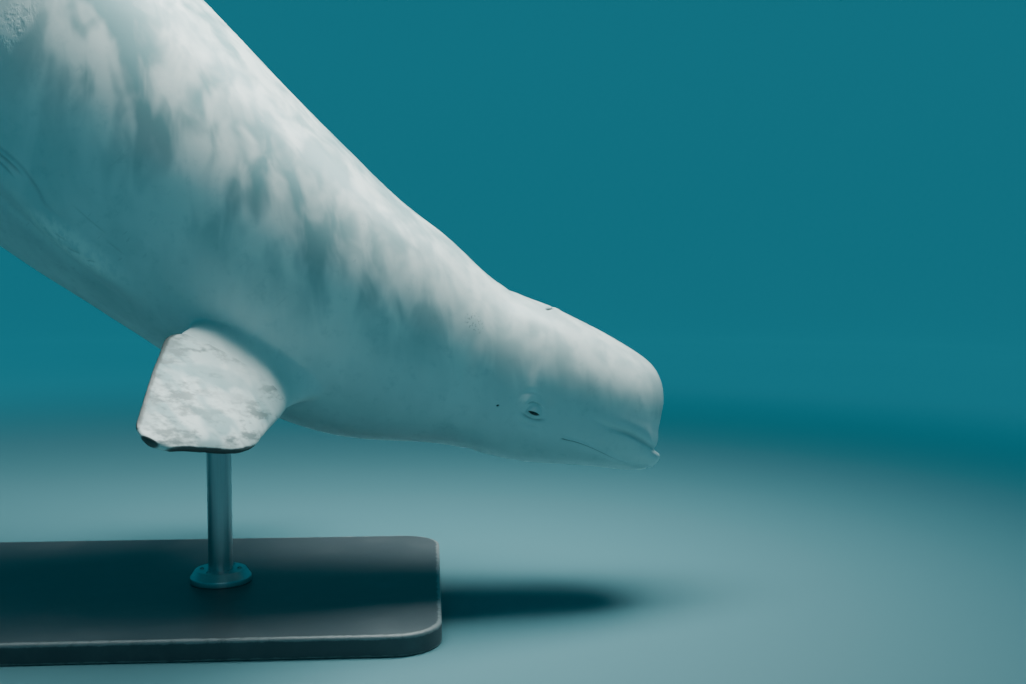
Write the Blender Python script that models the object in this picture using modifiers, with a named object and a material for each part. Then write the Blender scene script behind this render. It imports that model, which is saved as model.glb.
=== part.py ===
"""A life-size beluga whale, diving nose down, as a still museum model on a rod stand.

Metres, +Z up. The head points towards +X and the whale's right side towards -Y.
The origin is the middle of the stand base's underside.

The whale is drawn straight first, in body coordinates: distance behind the snout
along the spine, distance to the left, and height over the spine. Then the spine is
bent into the dive. The body is lofted through named ribs, the flukes are its last,
swept ribs, and the flippers grow out of patches of its sides. The whole skin is one
closed mesh, which thin cuts part into head, neck, trunk, tail and fins.
"""

import math

import bmesh
import bpy
import numpy as np
from mathutils import Matrix, Vector

# Place of the whale over its base
SNOUT_FORWARD = 1.36
AXIS_HEIGHT = 0.41

# Pitch of the spine below level, in degrees, and where it changes along the body
HEAD_PITCH = 15.0
TRUNK_PITCH = 41.0
TAIL_PITCH = 8.0
NECK_BEND = (0.40, 1.00)
LOIN_BEND = (2.00, 3.60)

# Ribs of the body: back point, belly point (each behind the snout, over the spine),
# half width, and how far the widest point of the rib lies behind its ends
RIBS = (
    ("melon_front", -0.004, 0.000, -0.004, 0.000, 0.000, 0.000),
    ("melon_face", -0.003, 0.032, -0.006, -0.022, 0.048, 0.005),
    ("melon_brow", 0.001, 0.062, -0.009, -0.046, 0.082, 0.018),
    ("beak_notch", 0.013, 0.091, -0.013, -0.066, 0.105, 0.034),
    ("beak_top", 0.036, 0.119, -0.023, -0.074, 0.121, 0.050),
    ("beak_tip", 0.068, 0.138, -0.027, -0.084, 0.133, 0.063),
    ("lip", 0.105, 0.151, -0.022, -0.099, 0.142, 0.072),
    ("chin", 0.150, 0.164, 0.004, -0.117, 0.149, 0.075),
    ("jaw", 0.200, 0.176, 0.060, -0.131, 0.156, 0.065),
    ("mouth_corner", 0.260, 0.188, 0.135, -0.142, 0.162, 0.045),
    ("eye", 0.320, 0.198, 0.220, -0.157, 0.168, 0.025),
    ("blowhole", 0.375, 0.204, 0.310, -0.171, 0.172, 0.010),
    ("nape", 0.425, 0.212, 0.400, -0.172, 0.176, 0.000),
    ("neck", 0.520, 0.248, 0.510, -0.184, 0.195, 0.000),
    ("shoulder", 0.640, 0.284, 0.640, -0.229, 0.233, 0.000),
    ("flipper_front", 0.800, 0.301, 0.800, -0.272, 0.284, 0.000),
    ("flipper_rear", 1.020, 0.316, 1.020, -0.300, 0.324, 0.000),
    ("chest", 1.250, 0.333, 1.250, -0.327, 0.347, 0.000),
    ("girth", 1.550, 0.361, 1.550, -0.358, 0.357, 0.000),
    ("navel", 1.850, 0.364, 1.850, -0.352, 0.345, 0.000),
    ("loin", 2.200, 0.328, 2.200, -0.300, 0.290, 0.000),
    ("vent", 2.600, 0.258, 2.600, -0.220, 0.200, 0.000),
    ("stock_front", 2.950, 0.192, 2.950, -0.158, 0.125, 0.000),
    ("stock", 3.250, 0.140, 3.250, -0.116, 0.070, 0.000),
    ("stock_end", 3.420, 0.115, 3.420, -0.100, 0.050, 0.000),
)

# Height of the widest level, and the fullness above and below it, along the body
SECTION_STOPS = (0.0, 0.45, 1.20, 2.20, 3.10, 3.42)
WIDEST_LEVEL = (0.48, 0.47, 0.47, 0.50, 0.50, 0.50)
UPPER_FULLNESS = (2.1, 2.25, 2.1, 1.95, 1.75, 1.75)
LOWER_FULLNESS = (2.1, 2.0, 2.2, 2.1, 1.75, 1.75)

# Flukes: the leading edge from the tail stock to the tip (share of the fluke ribs,
# place behind the snout, distance from the middle), the notch and the trailing edge
FLUKE_ROOT = 3.42
FLUKE_NOTCH = 3.80
FLUKE_LEAD = (
    (0.0, 3.420, 0.050),
    (0.2, 3.468, 0.098),
    (0.4, 3.530, 0.190),
    (0.6, 3.605, 0.300),
    (0.8, 3.695, 0.398),
    (1.0, 3.805, 0.455),
)
FLUKE_TRAIL_BULGE = 0.085
FLUKE_HALF_THICKNESS = 0.028
FLUKE_EDGE = 0.003
FLUKE_SETTLE = 0.33
KEEL_END = 0.010
KEEL_HALF_WIDTH = (0.055, 0.030)

# Low ridge along the back
RIDGE_SPAN = (1.80, 2.46)
RIDGE_HEIGHT = 0.016
RIDGE_HALF_WIDTH = 0.034

# Flippers: the patch of the side that each grows from and the oval foot inside it, the
# right one's directions out and forwards, and its edges before and behind its axis by
# shares of its length
PATCH_SPAN = (0.64, 1.12)
PATCH_ANGLES = (90.0, 153.0)
FOOT_PLACE = (0.862, 124.0)
FOOT_HALF = (0.142, 15.0)
FLIPPER_ROOT = (0.856, 124.0)
FLIPPER_ROOT_OUT = 0.025
FLIPPER_LENGTH = 0.444
FLIPPER_AXIS = (0.025, -0.908, -0.418)
FLIPPER_CHORD = (0.731, 0.302, -0.612)
FLIPPER_STOPS = (0.0, 0.155, 0.333, 0.49, 0.644, 0.80, 0.90, 1.0)
FLIPPER_LEAD = (0.099, 0.085, 0.061, 0.040, 0.010, -0.058, -0.106, -0.142)
FLIPPER_TRAIL = (-0.099, -0.184, -0.204, -0.206, -0.206, -0.204, -0.203, -0.203)
FLIPPER_HALF_THICKNESS = (0.038, 0.032, 0.024, 0.019, 0.016, 0.013, 0.011, 0.009)
FLIPPER_ROUND = 0.93
FLIPPER_FULLER_LEAD = 0.30
FLIPPER_TIP_CURL = 0.008
FLIPPER_HIND_CURL = 0.010
FLIPPER_HIND_WIDTH = 0.14
FLIPPER_FILLET = 0.13
FILLET_PULL = (0.050, 0.070)

# Eyes
EYE_BEHIND = 0.306
EYE_LEVEL = -0.034
EYE_RADIUS = 0.016
EYE_DEPTH = 0.0105

# Cuts between the named parts: where each length of the body ends behind the snout, and
# the lines of the mouth, the melon and the ridge (behind the snout, over the spine)
GAP = 0.0003
CROSS_CUTS = (
    ("head", 0.41),
    ("neck", 0.71),
    ("chest", 1.22),
    ("trunk", 1.77),
    ("loin", 2.56),
    ("tail_stock", 3.47),
)
MOUTH_LINE = ((-0.080, -0.096), (-0.020, -0.094), (0.060, -0.097), (0.150, -0.090), (0.223, -0.079),
              (0.262, -0.230))
MELON_LINE = ((-0.080, -0.078), (0.000, -0.055), (0.100, 0.000), (0.190, 0.070), (0.245, 0.150),
              (0.262, 0.240))
RIDGE_LINE = ((1.780, 0.390), (1.835, 0.353), (2.120, 0.327), (2.390, 0.279), (2.450, 0.315))
FLIPPER_CUT = 0.050

# Stand
BASE_LENGTH = 1.70
BASE_WIDTH = 0.86
BASE_HEIGHT = 0.045
BASE_CORNER = 0.10
BASE_EDGE = 0.006
ROD_RADIUS = 0.028
ROD_PLACES = (("front", 0.34), ("rear", -0.50))
ROD_INSERT = 0.060
SOCKET_RADIUS = 0.070
SOCKET_TOP_RADIUS = 0.058
SOCKET_HEIGHT = 0.030

# Fineness of the mesh
AROUND = 36
HEAD_STEP = 0.028
TRUNK_STEP = 0.095
FLUKE_RIBS = 12
FLIPPER_RINGS = 9
PATCH_RINGS = 2
FILLET_RINGS = 3


def clear_scene():
    """Start from an empty file."""
    for item in list(bpy.data.objects):
        bpy.data.objects.remove(item, do_unlink=True)


def new_collection(name):
    """Return a new collection linked to the scene."""
    collection = bpy.data.collections.new(name)
    bpy.context.scene.collection.children.link(collection)
    return collection


def make_material(name, colour, roughness, metallic=0.0):
    """Return a plain material with the piece's colour."""
    material = bpy.data.materials.new(name)
    material.use_nodes = True
    shader = material.node_tree.nodes["Principled BSDF"]
    shader.inputs["Base Color"].default_value = (*colour, 1.0)
    shader.inputs["Roughness"].default_value = roughness
    shader.inputs["Metallic"].default_value = metallic
    material.diffuse_color = (*colour, 1.0)
    return material


def ease(value):
    """Rise smoothly from 0 to 1 as the value goes from 0 to 1."""
    value = np.clip(value, 0.0, 1.0)
    return value * value * (3.0 - 2.0 * value)


def smooth_curve(knots, values):
    """Return a function that runs smoothly through the values at the knots."""
    knots = np.asarray(knots, float)
    values = np.asarray(values, float)
    count = len(knots)
    steps = np.diff(knots)
    matrix = np.eye(count)
    right = np.zeros_like(values)
    for i in range(1, count - 1):
        matrix[i, i - 1] = steps[i - 1]
        matrix[i, i] = 2.0 * (steps[i - 1] + steps[i])
        matrix[i, i + 1] = steps[i]
        after = (values[i + 1] - values[i]) / steps[i]
        before = (values[i] - values[i - 1]) / steps[i - 1]
        right[i] = 6.0 * (after - before)
    bends = np.linalg.solve(matrix, right)

    def curve(place):
        i = int(np.clip(np.searchsorted(knots, place, side="right") - 1, 0, count - 2))
        width = steps[i]
        b = (place - knots[i]) / width
        a = 1.0 - b
        pull = ((a ** 3 - a) * bends[i] + (b ** 3 - b) * bends[i + 1]) * width * width / 6.0
        return a * values[i] + b * values[i + 1] + pull

    return curve


def spine_table():
    """Return the spine's places, its points over the floor and its pitch."""
    along = np.linspace(-0.20, 4.10, 4301)
    pitch = HEAD_PITCH + (TRUNK_PITCH - HEAD_PITCH) * ease(
        (along - NECK_BEND[0]) / (NECK_BEND[1] - NECK_BEND[0]))
    pitch = pitch + (TAIL_PITCH - TRUNK_PITCH) * ease(
        (along - LOIN_BEND[0]) / (LOIN_BEND[1] - LOIN_BEND[0]))
    pitch = np.radians(pitch)
    step = along[1] - along[0]
    middle = 0.5 * (pitch[1:] + pitch[:-1])
    back = np.concatenate([[0.0], np.cumsum(-np.cos(middle) * step)])
    up = np.concatenate([[0.0], np.cumsum(np.sin(middle) * step)])
    back = back - np.interp(0.0, along, back) + SNOUT_FORWARD
    up = up - np.interp(0.0, along, up) + AXIS_HEIGHT
    return along, back, up, pitch


SPINE = spine_table()


def bend(points):
    """Carry points from body coordinates to the bent whale."""
    points = np.asarray(points, float)
    along, back, up, pitch = SPINE
    behind = points[..., 0]
    angle = np.interp(behind, along, pitch)
    x = np.interp(behind, along, back) + points[..., 2] * np.sin(angle)
    z = np.interp(behind, along, up) + points[..., 2] * np.cos(angle)
    return np.stack([x, points[..., 1], z], axis=-1)


def spine_frame(behind):
    """Return the matrix of a cross cut: its X runs back along the spine, its Z up."""
    along, back, up, pitch = SPINE
    angle = float(np.interp(behind, along, pitch))
    place = Vector((float(np.interp(behind, along, back)), 0.0, float(np.interp(behind, along, up))))
    aft = Vector((-math.cos(angle), 0.0, math.sin(angle)))
    over = Vector((math.sin(angle), 0.0, math.cos(angle)))
    side = over.cross(aft)
    turn = Matrix((aft, side, over)).transposed()
    return Matrix.Translation(place) @ turn.to_4x4()


def rib_knots():
    """Return the distance along the body at which each rib stands."""
    table = np.array([rib[1:] for rib in RIBS])
    back = np.hypot(*np.diff(table[:, 0:2], axis=0).T)
    belly = np.hypot(*np.diff(table[:, 2:4], axis=0).T)
    return np.concatenate([[0.0], np.cumsum(0.5 * (back + belly))]), table


KNOTS, RIB_TABLE = rib_knots()
RIB_CURVE = smooth_curve(KNOTS, RIB_TABLE)
FLUKE_EDGE_CURVE = smooth_curve([row[0] for row in FLUKE_LEAD], [row[1:] for row in FLUKE_LEAD])
FLIPPER_EDGE_CURVE = smooth_curve(
    FLIPPER_STOPS, np.stack([FLIPPER_LEAD, FLIPPER_TRAIL, FLIPPER_HALF_THICKNESS], axis=1))


def body_ring(place, angles):
    """Return one ring of the body, from the middle of the back round by the right side."""
    top_s, top_z, low_s, low_z, half, sweep = RIB_CURVE(place)
    middle = 0.5 * (top_s + low_s)
    level = np.interp(middle, SECTION_STOPS, WIDEST_LEVEL)
    upper = np.interp(middle, SECTION_STOPS, UPPER_FULLNESS)
    lower = np.interp(middle, SECTION_STOPS, LOWER_FULLNESS)
    cosine = np.cos(angles)
    sine = np.sin(angles)
    power = np.where(cosine >= 0.0, 2.0 / upper, 2.0 / lower)
    out = np.sign(sine) * np.abs(sine) ** power
    rise = np.abs(cosine) ** power
    wide_s = low_s + level * (top_s - low_s)
    wide_z = low_z + level * (top_z - low_z)
    end_s = np.where(cosine >= 0.0, top_s, low_s)
    end_z = np.where(cosine >= 0.0, top_z, low_z)
    behind = wide_s + (end_s - wide_s) * rise + sweep * sine ** 2
    over = wide_z + (end_z - wide_z) * rise
    return np.stack([behind, -half * out, over], axis=-1)


def fluke_ring(share, angles):
    """Return one swept ring of the flukes: 0 at the end of the tail stock, 1 at the trailing edge."""
    lead, reach = FLUKE_EDGE_CURVE(share)
    root_top = RIB_TABLE[-1, 1]
    root_low = RIB_TABLE[-1, 3]
    root_half = 0.5 * (root_top - root_low)
    centre = FLUKE_ROOT + (FLUKE_NOTCH - FLUKE_ROOT) * share
    sine = np.sin(angles)
    cosine = np.cos(angles)
    side = np.abs(sine)
    bulge = FLUKE_TRAIL_BULGE * share ** 3 * np.sin(math.pi * side ** 0.85)
    behind = centre + (lead - centre) * side ** 2 + bulge
    settle = float(ease(share / FLUKE_SETTLE))
    blade = FLUKE_HALF_THICKNESS * (1.0 - share) ** 0.75 + FLUKE_EDGE * share
    blade = root_half + (blade - root_half) * settle
    keel = root_half * (1.0 - share) ** 1.2 + KEEL_END * share
    keel_width = KEEL_HALF_WIDTH[0] + (KEEL_HALF_WIDTH[1] - KEEL_HALF_WIDTH[0]) * share
    ridge = np.maximum(keel - blade, 0.0) * np.exp(-(reach * side / keel_width) ** 2) * settle
    half = (blade + ridge) * np.abs(cosine)
    middle = 0.5 * (root_top + root_low) * (1.0 - share)
    return np.stack([behind, -reach * sine, middle + np.sign(cosine) * half], axis=-1)


def ring_places():
    """Return the places of the rings: close on the head, wider on the trunk."""
    places = [0.0]
    while places[-1] < KNOTS[-1] - 0.5 * TRUNK_STEP:
        share = float(ease((places[-1] - 0.30) / 0.50))
        places.append(places[-1] + HEAD_STEP + (TRUNK_STEP - HEAD_STEP) * share)
    places = np.array(places)
    return places * KNOTS[-1] / places[-1]


def body_grid():
    """Return the rings of the straight whale, from the snout to the trailing edge."""
    angles = np.linspace(0.0, 2.0 * math.pi, AROUND, endpoint=False)
    rings = [body_ring(place, angles) for place in ring_places()]
    for i in range(1, FLUKE_RIBS + 1):
        rings.append(fluke_ring(i / FLUKE_RIBS, angles))
    grid = np.array(rings)
    reach = (grid[..., 0] - RIDGE_SPAN[0]) / (RIDGE_SPAN[1] - RIDGE_SPAN[0])
    swell = np.where((reach > 0.0) & (reach < 1.0), np.sin(math.pi * np.clip(reach, 0, 1)), 0.0)
    narrow = np.exp(-(grid[..., 1] / RIDGE_HALF_WIDTH) ** 2)
    grid[..., 2] += RIDGE_HEIGHT * swell ** 0.5 * narrow * (grid[..., 2] > 0.0)
    return grid


def flipper_section(share, turns):
    """Return one section of the right flipper, out from the root by a share of its length."""
    lead, trail, thick = FLIPPER_EDGE_CURVE(share)
    late = max(0.0, (share - FLIPPER_ROUND) / (1.0 - FLIPPER_ROUND))
    shrink = math.sqrt(1.0 - late ** 2)
    middle = 0.5 * (lead + trail)
    half = 0.5 * (lead - trail) * shrink
    across = middle + half * np.cos(turns)
    lift = thick * shrink ** 0.5 * np.sin(turns) * (1.0 + FLIPPER_FULLER_LEAD * np.cos(turns))
    hind = np.clip((middle - across) / FLIPPER_HIND_WIDTH, 0.0, 1.2)
    lift = lift + FLIPPER_HIND_CURL * hind ** 2 * min(1.0, 1.6 * share)
    lift = lift + FLIPPER_TIP_CURL * share ** 3
    axis = Vector(FLIPPER_AXIS).normalized()
    chord = Vector(FLIPPER_CHORD)
    chord = (chord - axis * chord.dot(axis)).normalized()
    upward = axis.cross(chord)
    if upward.z < 0.0:
        upward = -upward
    points = np.outer(across, chord) + np.outer(lift, upward)
    return points + np.array(axis) * FLIPPER_LENGTH * share


def flipper_root():
    """Return the point of the right side that the flipper's axis starts from."""
    behind, angle = FLIPPER_ROOT
    place = np.interp(behind, RIB_TABLE[:, 0], KNOTS)
    surface = bend(body_ring(place, np.array([math.radians(angle)])))[0]
    return surface + FLIPPER_ROOT_OUT * np.array(Vector(FLIPPER_AXIS).normalized())


def patch_border(rows, columns):
    """Return the border of a patch of the grid, in order round it."""
    first, last = rows
    low, high = columns
    border = [(first, j) for j in range(low, high)]
    border += [(i, high) for i in range(first, last)]
    border += [(last, j) for j in range(high, low, -1)]
    border += [(i, low) for i in range(last, first, -1)]
    return border


def flank_points(marks):
    """Return points of the whale's side, each at a distance along the body and an angle."""
    return np.array([bend(body_ring(place, np.array([angle])))[0] for place, angle in marks])


def grow_flipper(grid, rows, columns):
    """Return the rings of the right flipper, from the patch's border to its tip."""
    border = patch_border(rows, columns)
    knots = ring_places()
    middle = (0.5 * (rows[0] + rows[1]), 0.5 * (columns[0] + columns[1]))
    half = (0.5 * (rows[1] - rows[0]), 0.5 * (columns[1] - columns[0]))
    turns = np.array([math.atan2((middle[1] - j) / half[1], (middle[0] - i) / half[0]) for i, j in border])
    rim = np.array([(knots[i], 2.0 * math.pi * j / AROUND) for i, j in border])
    centre = (np.interp(FOOT_PLACE[0], RIB_TABLE[:, 0], KNOTS), math.radians(FOOT_PLACE[1]))
    foot = np.stack([centre[0] - FOOT_HALF[0] * np.cos(turns),
                     centre[1] - math.radians(FOOT_HALF[1]) * np.sin(turns)], axis=1)
    rings = []
    for k in range(1, PATCH_RINGS + 1):
        rings.append(flank_points(rim + (foot - rim) * k / PATCH_RINGS))
    inward = flank_points(foot + (np.array(centre) - foot) * 0.1) - rings[-1]
    inward /= np.linalg.norm(inward, axis=1, keepdims=True)
    root = flipper_root()
    start = flipper_section(FLIPPER_FILLET, turns) + root
    axis = np.array(Vector(FLIPPER_AXIS).normalized())
    edge = rings[-1]
    for k in range(1, FILLET_RINGS + 1):
        t = k / (FILLET_RINGS + 1)
        h00 = 2 * t ** 3 - 3 * t ** 2 + 1
        h10 = t ** 3 - 2 * t ** 2 + t
        h01 = -2 * t ** 3 + 3 * t ** 2
        h11 = t ** 3 - t ** 2
        rings.append(h00 * edge + h10 * FILLET_PULL[0] * inward + h01 * start + h11 * FILLET_PULL[1] * axis)
    for k in range(FLIPPER_RINGS):
        t = k / FLIPPER_RINGS
        share = FLIPPER_FILLET + (1.0 - FLIPPER_FILLET) * (1.0 - (1.0 - t) ** 1.5)
        rings.append(flipper_section(share, turns) + root)
    tip = flipper_section(1.0, np.array([0.0]))[0] + root
    return border, rings, tip


def patch_rows(grid):
    """Return the rows of the grid that bound the flippers' roots."""
    keel = grid[:, 0, 0]
    return tuple(int(np.argmin(np.abs(keel[:-FLUKE_RIBS] - edge))) for edge in PATCH_SPAN)


def add_rings(mesh, start, rings, tip, flip):
    """Bridge rings of points onto a loop of vertices and close them at the tip."""
    before = start
    for ring in rings:
        after = [mesh.verts.new(point) for point in ring]
        for k in range(len(after)):
            n = (k + 1) % len(after)
            face = (before[k], before[n], after[n], after[k])
            mesh.faces.new(face[::-1] if flip else face)
        before = after
    end = mesh.verts.new(tip)
    for k in range(len(before)):
        n = (k + 1) % len(before)
        face = (before[k], before[n], end)
        mesh.faces.new(face[::-1] if flip else face)


def whole_whale(collection):
    """Build the whole skin as one closed mesh."""
    straight = body_grid()
    rows = patch_rows(straight)
    columns = tuple(round(angle / 360.0 * AROUND) for angle in PATCH_ANGLES)
    grid = bend(straight)
    mirror = (AROUND - columns[1], AROUND - columns[0])
    mesh = bmesh.new()
    nose = mesh.verts.new(grid[0, 0])
    verts = {}
    for i in range(1, len(grid)):
        for j in range(AROUND):
            verts[i, j] = mesh.verts.new(grid[i, j])
    for j in range(AROUND):
        mesh.faces.new((nose, verts[1, (j + 1) % AROUND], verts[1, j]))
    for i in range(1, len(grid) - 1):
        for j in range(AROUND):
            inside = rows[0] <= i < rows[1]
            right = columns[0] <= j < columns[1]
            left = mirror[0] <= j < mirror[1]
            if inside and (right or left):
                continue
            n = (j + 1) % AROUND
            mesh.faces.new((verts[i, j], verts[i, n], verts[i + 1, n], verts[i + 1, j]))
    # The last ring's upper and lower points lie over each other and close the trailing edge
    last = len(grid) - 1
    half = AROUND // 2
    for j in range(AROUND // 4):
        for side in (1, -1):
            corners = (side * j, side * (j + 1), half - side * (j + 1), half - side * j)
            unique = list(dict.fromkeys(corner % AROUND for corner in corners))
            mesh.faces.new([verts[last, corner] for corner in unique])
    border, rings, tip = grow_flipper(grid, rows, columns)
    add_rings(mesh, [verts[key] for key in border], rings, tip, False)
    turned = np.array((1.0, -1.0, 1.0))
    other = [verts[i, (AROUND - j) % AROUND] for i, j in border]
    add_rings(mesh, other, [ring * turned for ring in rings], tip * turned, True)
    bmesh.ops.remove_doubles(mesh, verts=mesh.verts, dist=0.00005)
    bmesh.ops.recalc_face_normals(mesh, faces=mesh.faces)
    data = bpy.data.meshes.new("whole_whale")
    mesh.to_mesh(data)
    mesh.free()
    whale = bpy.data.objects.new("whole_whale", data)
    collection.objects.link(whale)
    return whale, grid, rows, columns


def hide(cutter):
    """Show a cutter only as a wire, and return it."""
    cutter.hide_render = True
    cutter.display_type = "WIRE"
    return cutter


def plate_cutter(name, matrix, size, collection):
    """Make a thin box that parts what it passes through."""
    mesh = bmesh.new()
    bmesh.ops.create_cube(mesh, size=1.0)
    bmesh.ops.scale(mesh, vec=Vector(size), verts=mesh.verts)
    data = bpy.data.meshes.new(name)
    mesh.to_mesh(data)
    mesh.free()
    cutter = bpy.data.objects.new(name, data)
    cutter.matrix_world = matrix
    collection.objects.link(cutter)
    return hide(cutter)


def strip_cutter(name, route, collection):
    """Make a thin strip along a route in body coordinates, right through the whale."""
    reach = 0.30
    mesh = bmesh.new()
    rows = []
    for behind, over in route:
        ends = bend(np.array([(behind, -reach, over), (behind, reach, over)]))
        rows.append([mesh.verts.new(point) for point in ends])
    for a, b in zip(rows[:-1], rows[1:]):
        mesh.faces.new((a[0], a[1], b[1], b[0]))
    data = bpy.data.meshes.new(name)
    mesh.to_mesh(data)
    mesh.free()
    cutter = bpy.data.objects.new(name, data)
    collection.objects.link(cutter)
    wall = cutter.modifiers.new("thickness", "SOLIDIFY")
    wall.thickness = GAP
    wall.offset = 0.0
    return hide(cutter)


def ball(name, centre, radius, collection, segments=12, rings=8):
    """Make a closed sphere."""
    mesh = bmesh.new()
    bmesh.ops.create_uvsphere(mesh, u_segments=segments, v_segments=rings, radius=radius)
    data = bpy.data.meshes.new(name)
    mesh.to_mesh(data)
    mesh.free()
    data.shade_smooth()
    item = bpy.data.objects.new(name, data)
    item.location = centre
    collection.objects.link(item)
    return item


def rod(name, place, low, high, radius, collection, sides=24):
    """Make an upright cylinder between two heights."""
    mesh = bmesh.new()
    bmesh.ops.create_cone(mesh, cap_ends=True, segments=sides, radius1=radius, radius2=radius,
                          depth=high - low)
    data = bpy.data.meshes.new(name)
    mesh.to_mesh(data)
    mesh.free()
    data.shade_smooth()
    data.set_sharp_from_angle(angle=math.radians(40.0))
    item = bpy.data.objects.new(name, data)
    item.location = (place, 0.0, 0.5 * (low + high))
    collection.objects.link(item)
    return item


def eye_centres():
    """Return the centre of the right eye, under the surface of the straight head."""
    angles = np.linspace(0.35 * math.pi, 0.75 * math.pi, 161)
    places = np.linspace(0.15, 0.45, 241)
    cloud = np.array([body_ring(place, angles) for place in places]).reshape(-1, 3)
    gap = np.hypot(cloud[:, 0] - EYE_BEHIND, cloud[:, 2] - EYE_LEVEL)
    surface = cloud[int(np.argmin(gap))]
    right = bend(surface + np.array((0.0, EYE_DEPTH, 0.0)))
    return Vector(right), Vector((right[0], -right[1], right[2]))


def belly_height(grid, place):
    """Return the height of the belly line over a place on the base."""
    keel = grid[:-FLUKE_RIBS, AROUND // 2]
    order = np.argsort(keel[:, 0])
    return float(np.interp(place, keel[order, 0], keel[order, 2]))


def flipper_cut_frame(grid, rows, columns, way):
    """Return the matrix of the cut at a flipper's root, along the flank. Way is 1 on the right."""
    row = (rows[0] + rows[1]) // 2
    column = (columns[0] + columns[1]) // 2
    along = grid[row + 1, column] - grid[row - 1, column]
    around = grid[row, column + 1] - grid[row, column - 1]
    normal = Vector(np.cross(along, around)).normalized()
    if normal.y > 0.0:
        normal = -normal
    mirror = Vector((1.0, way, 1.0))
    turn = (normal * mirror).to_track_quat("Z", "X").to_matrix().to_4x4()
    return Matrix.Translation((Vector(flipper_root()) + normal * FLIPPER_CUT) * mirror) @ turn


def carve(item, cutter):
    """Cut one object out of another and keep the result as its mesh."""
    cut = item.modifiers.new(cutter.name, "BOOLEAN")
    cut.operation = "DIFFERENCE"
    cut.solver = "EXACT"
    cut.object = cutter
    bpy.context.view_layer.update()
    depsgraph = bpy.context.evaluated_depsgraph_get()
    data = bpy.data.meshes.new_from_object(item.evaluated_get(depsgraph), depsgraph=depsgraph)
    item.modifiers.remove(cut)
    item.data = data


def islands(mesh):
    """Return the loose pieces of a mesh as lists of vertex numbers."""
    mesh.verts.ensure_lookup_table()
    seen = set()
    groups = []
    for seed in mesh.verts:
        if seed.index in seen:
            continue
        seen.add(seed.index)
        stack = [seed]
        members = []
        while stack:
            vert = stack.pop()
            members.append(vert.index)
            for edge in vert.link_edges:
                other = edge.other_vert(vert)
                if other.index not in seen:
                    seen.add(other.index)
                    stack.append(other)
        groups.append(members)
    return groups


def split(item, cutter, marks):
    """Part an object with a thin cutter. Marks holds each piece's name and a point near it."""
    carve(item, cutter)
    collection = item.users_collection[0]
    mesh = bmesh.new()
    mesh.from_mesh(item.data)
    bpy.data.objects.remove(item, do_unlink=True)
    groups = islands(mesh)
    if len(groups) != len(marks):
        raise RuntimeError(cutter.name + " left " + str(len(groups)) + " pieces")
    pieces = {}
    for members in groups:
        middle = sum((mesh.verts[i].co for i in members), Vector()) / len(members)
        name = min(marks, key=lambda key: (marks[key] - middle).length)
        keep = set(members)
        piece = mesh.copy()
        drop = [vert for vert in piece.verts if vert.index not in keep]
        bmesh.ops.delete(piece, geom=drop, context="VERTS")
        bmesh.ops.recalc_face_normals(piece, faces=piece.faces)
        data = bpy.data.meshes.new(name)
        piece.to_mesh(data)
        piece.free()
        pieces[name] = bpy.data.objects.new(name, data)
        collection.objects.link(pieces[name])
    mesh.free()
    return pieces


def spine_point(behind, over=0.0):
    """Return the world point over a place of the spine."""
    return Vector(bend(np.array((behind, 0.0, over))))


def part_lengths(whale, cutters):
    """Cut the whale across the spine and return its lengths by name."""
    found = {"rest": whale}
    for name, behind in CROSS_CUTS:
        plate = plate_cutter("cut_behind_" + name, spine_frame(behind), (GAP, 1.2, 1.2), cutters)
        marks = {name: spine_point(behind - 0.30), "rest": spine_point(behind + 0.30)}
        found.update(split(found["rest"], plate, marks))
    found["flukes"] = found.pop("rest")
    return found


def part_whale(whale, grid, rows, columns, cutters):
    """Part the whale into its named pieces and return them."""
    found = part_lengths(whale, cutters)
    marks = {"lower_jaw": spine_point(0.12, -0.12), "head": spine_point(0.20, 0.03)}
    found.update(split(found["head"], strip_cutter("cut_mouth", MOUTH_LINE, cutters), marks))
    marks = {"melon": spine_point(0.08, 0.06), "head": spine_point(0.30)}
    found.update(split(found["head"], strip_cutter("cut_melon", MELON_LINE, cutters), marks))
    middle = 0.5 * (RIDGE_SPAN[0] + RIDGE_SPAN[1])
    marks = {"dorsal_ridge": spine_point(middle, 0.34), "loin": spine_point(middle, -0.02)}
    found.update(split(found["loin"], strip_cutter("cut_ridge", RIDGE_LINE, cutters), marks))
    frame = spine_frame(FLUKE_NOTCH)
    marks = {"fluke_right": frame @ Vector((0.0, 0.2, 0.0)), "fluke_left": frame @ Vector((0.0, -0.2, 0.0))}
    plate = plate_cutter("cut_flukes", frame, (0.90, GAP, 0.80), cutters)
    found.update(split(found.pop("flukes"), plate, marks))
    reach = Vector(FLIPPER_AXIS).normalized() * 0.6 * FLIPPER_LENGTH
    for side, way in (("right", 1.0), ("left", -1.0)):
        frame = flipper_cut_frame(grid, rows, columns, way)
        plate = plate_cutter("cut_flipper_" + side, frame, (0.60, 0.60, GAP), cutters)
        blade = (Vector(flipper_root()) + reach) * Vector((1.0, way, 1.0))
        marks = {"flipper_" + side: blade, "chest": spine_point(0.95)}
        found.update(split(found["chest"], plate, marks))
    return found


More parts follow.
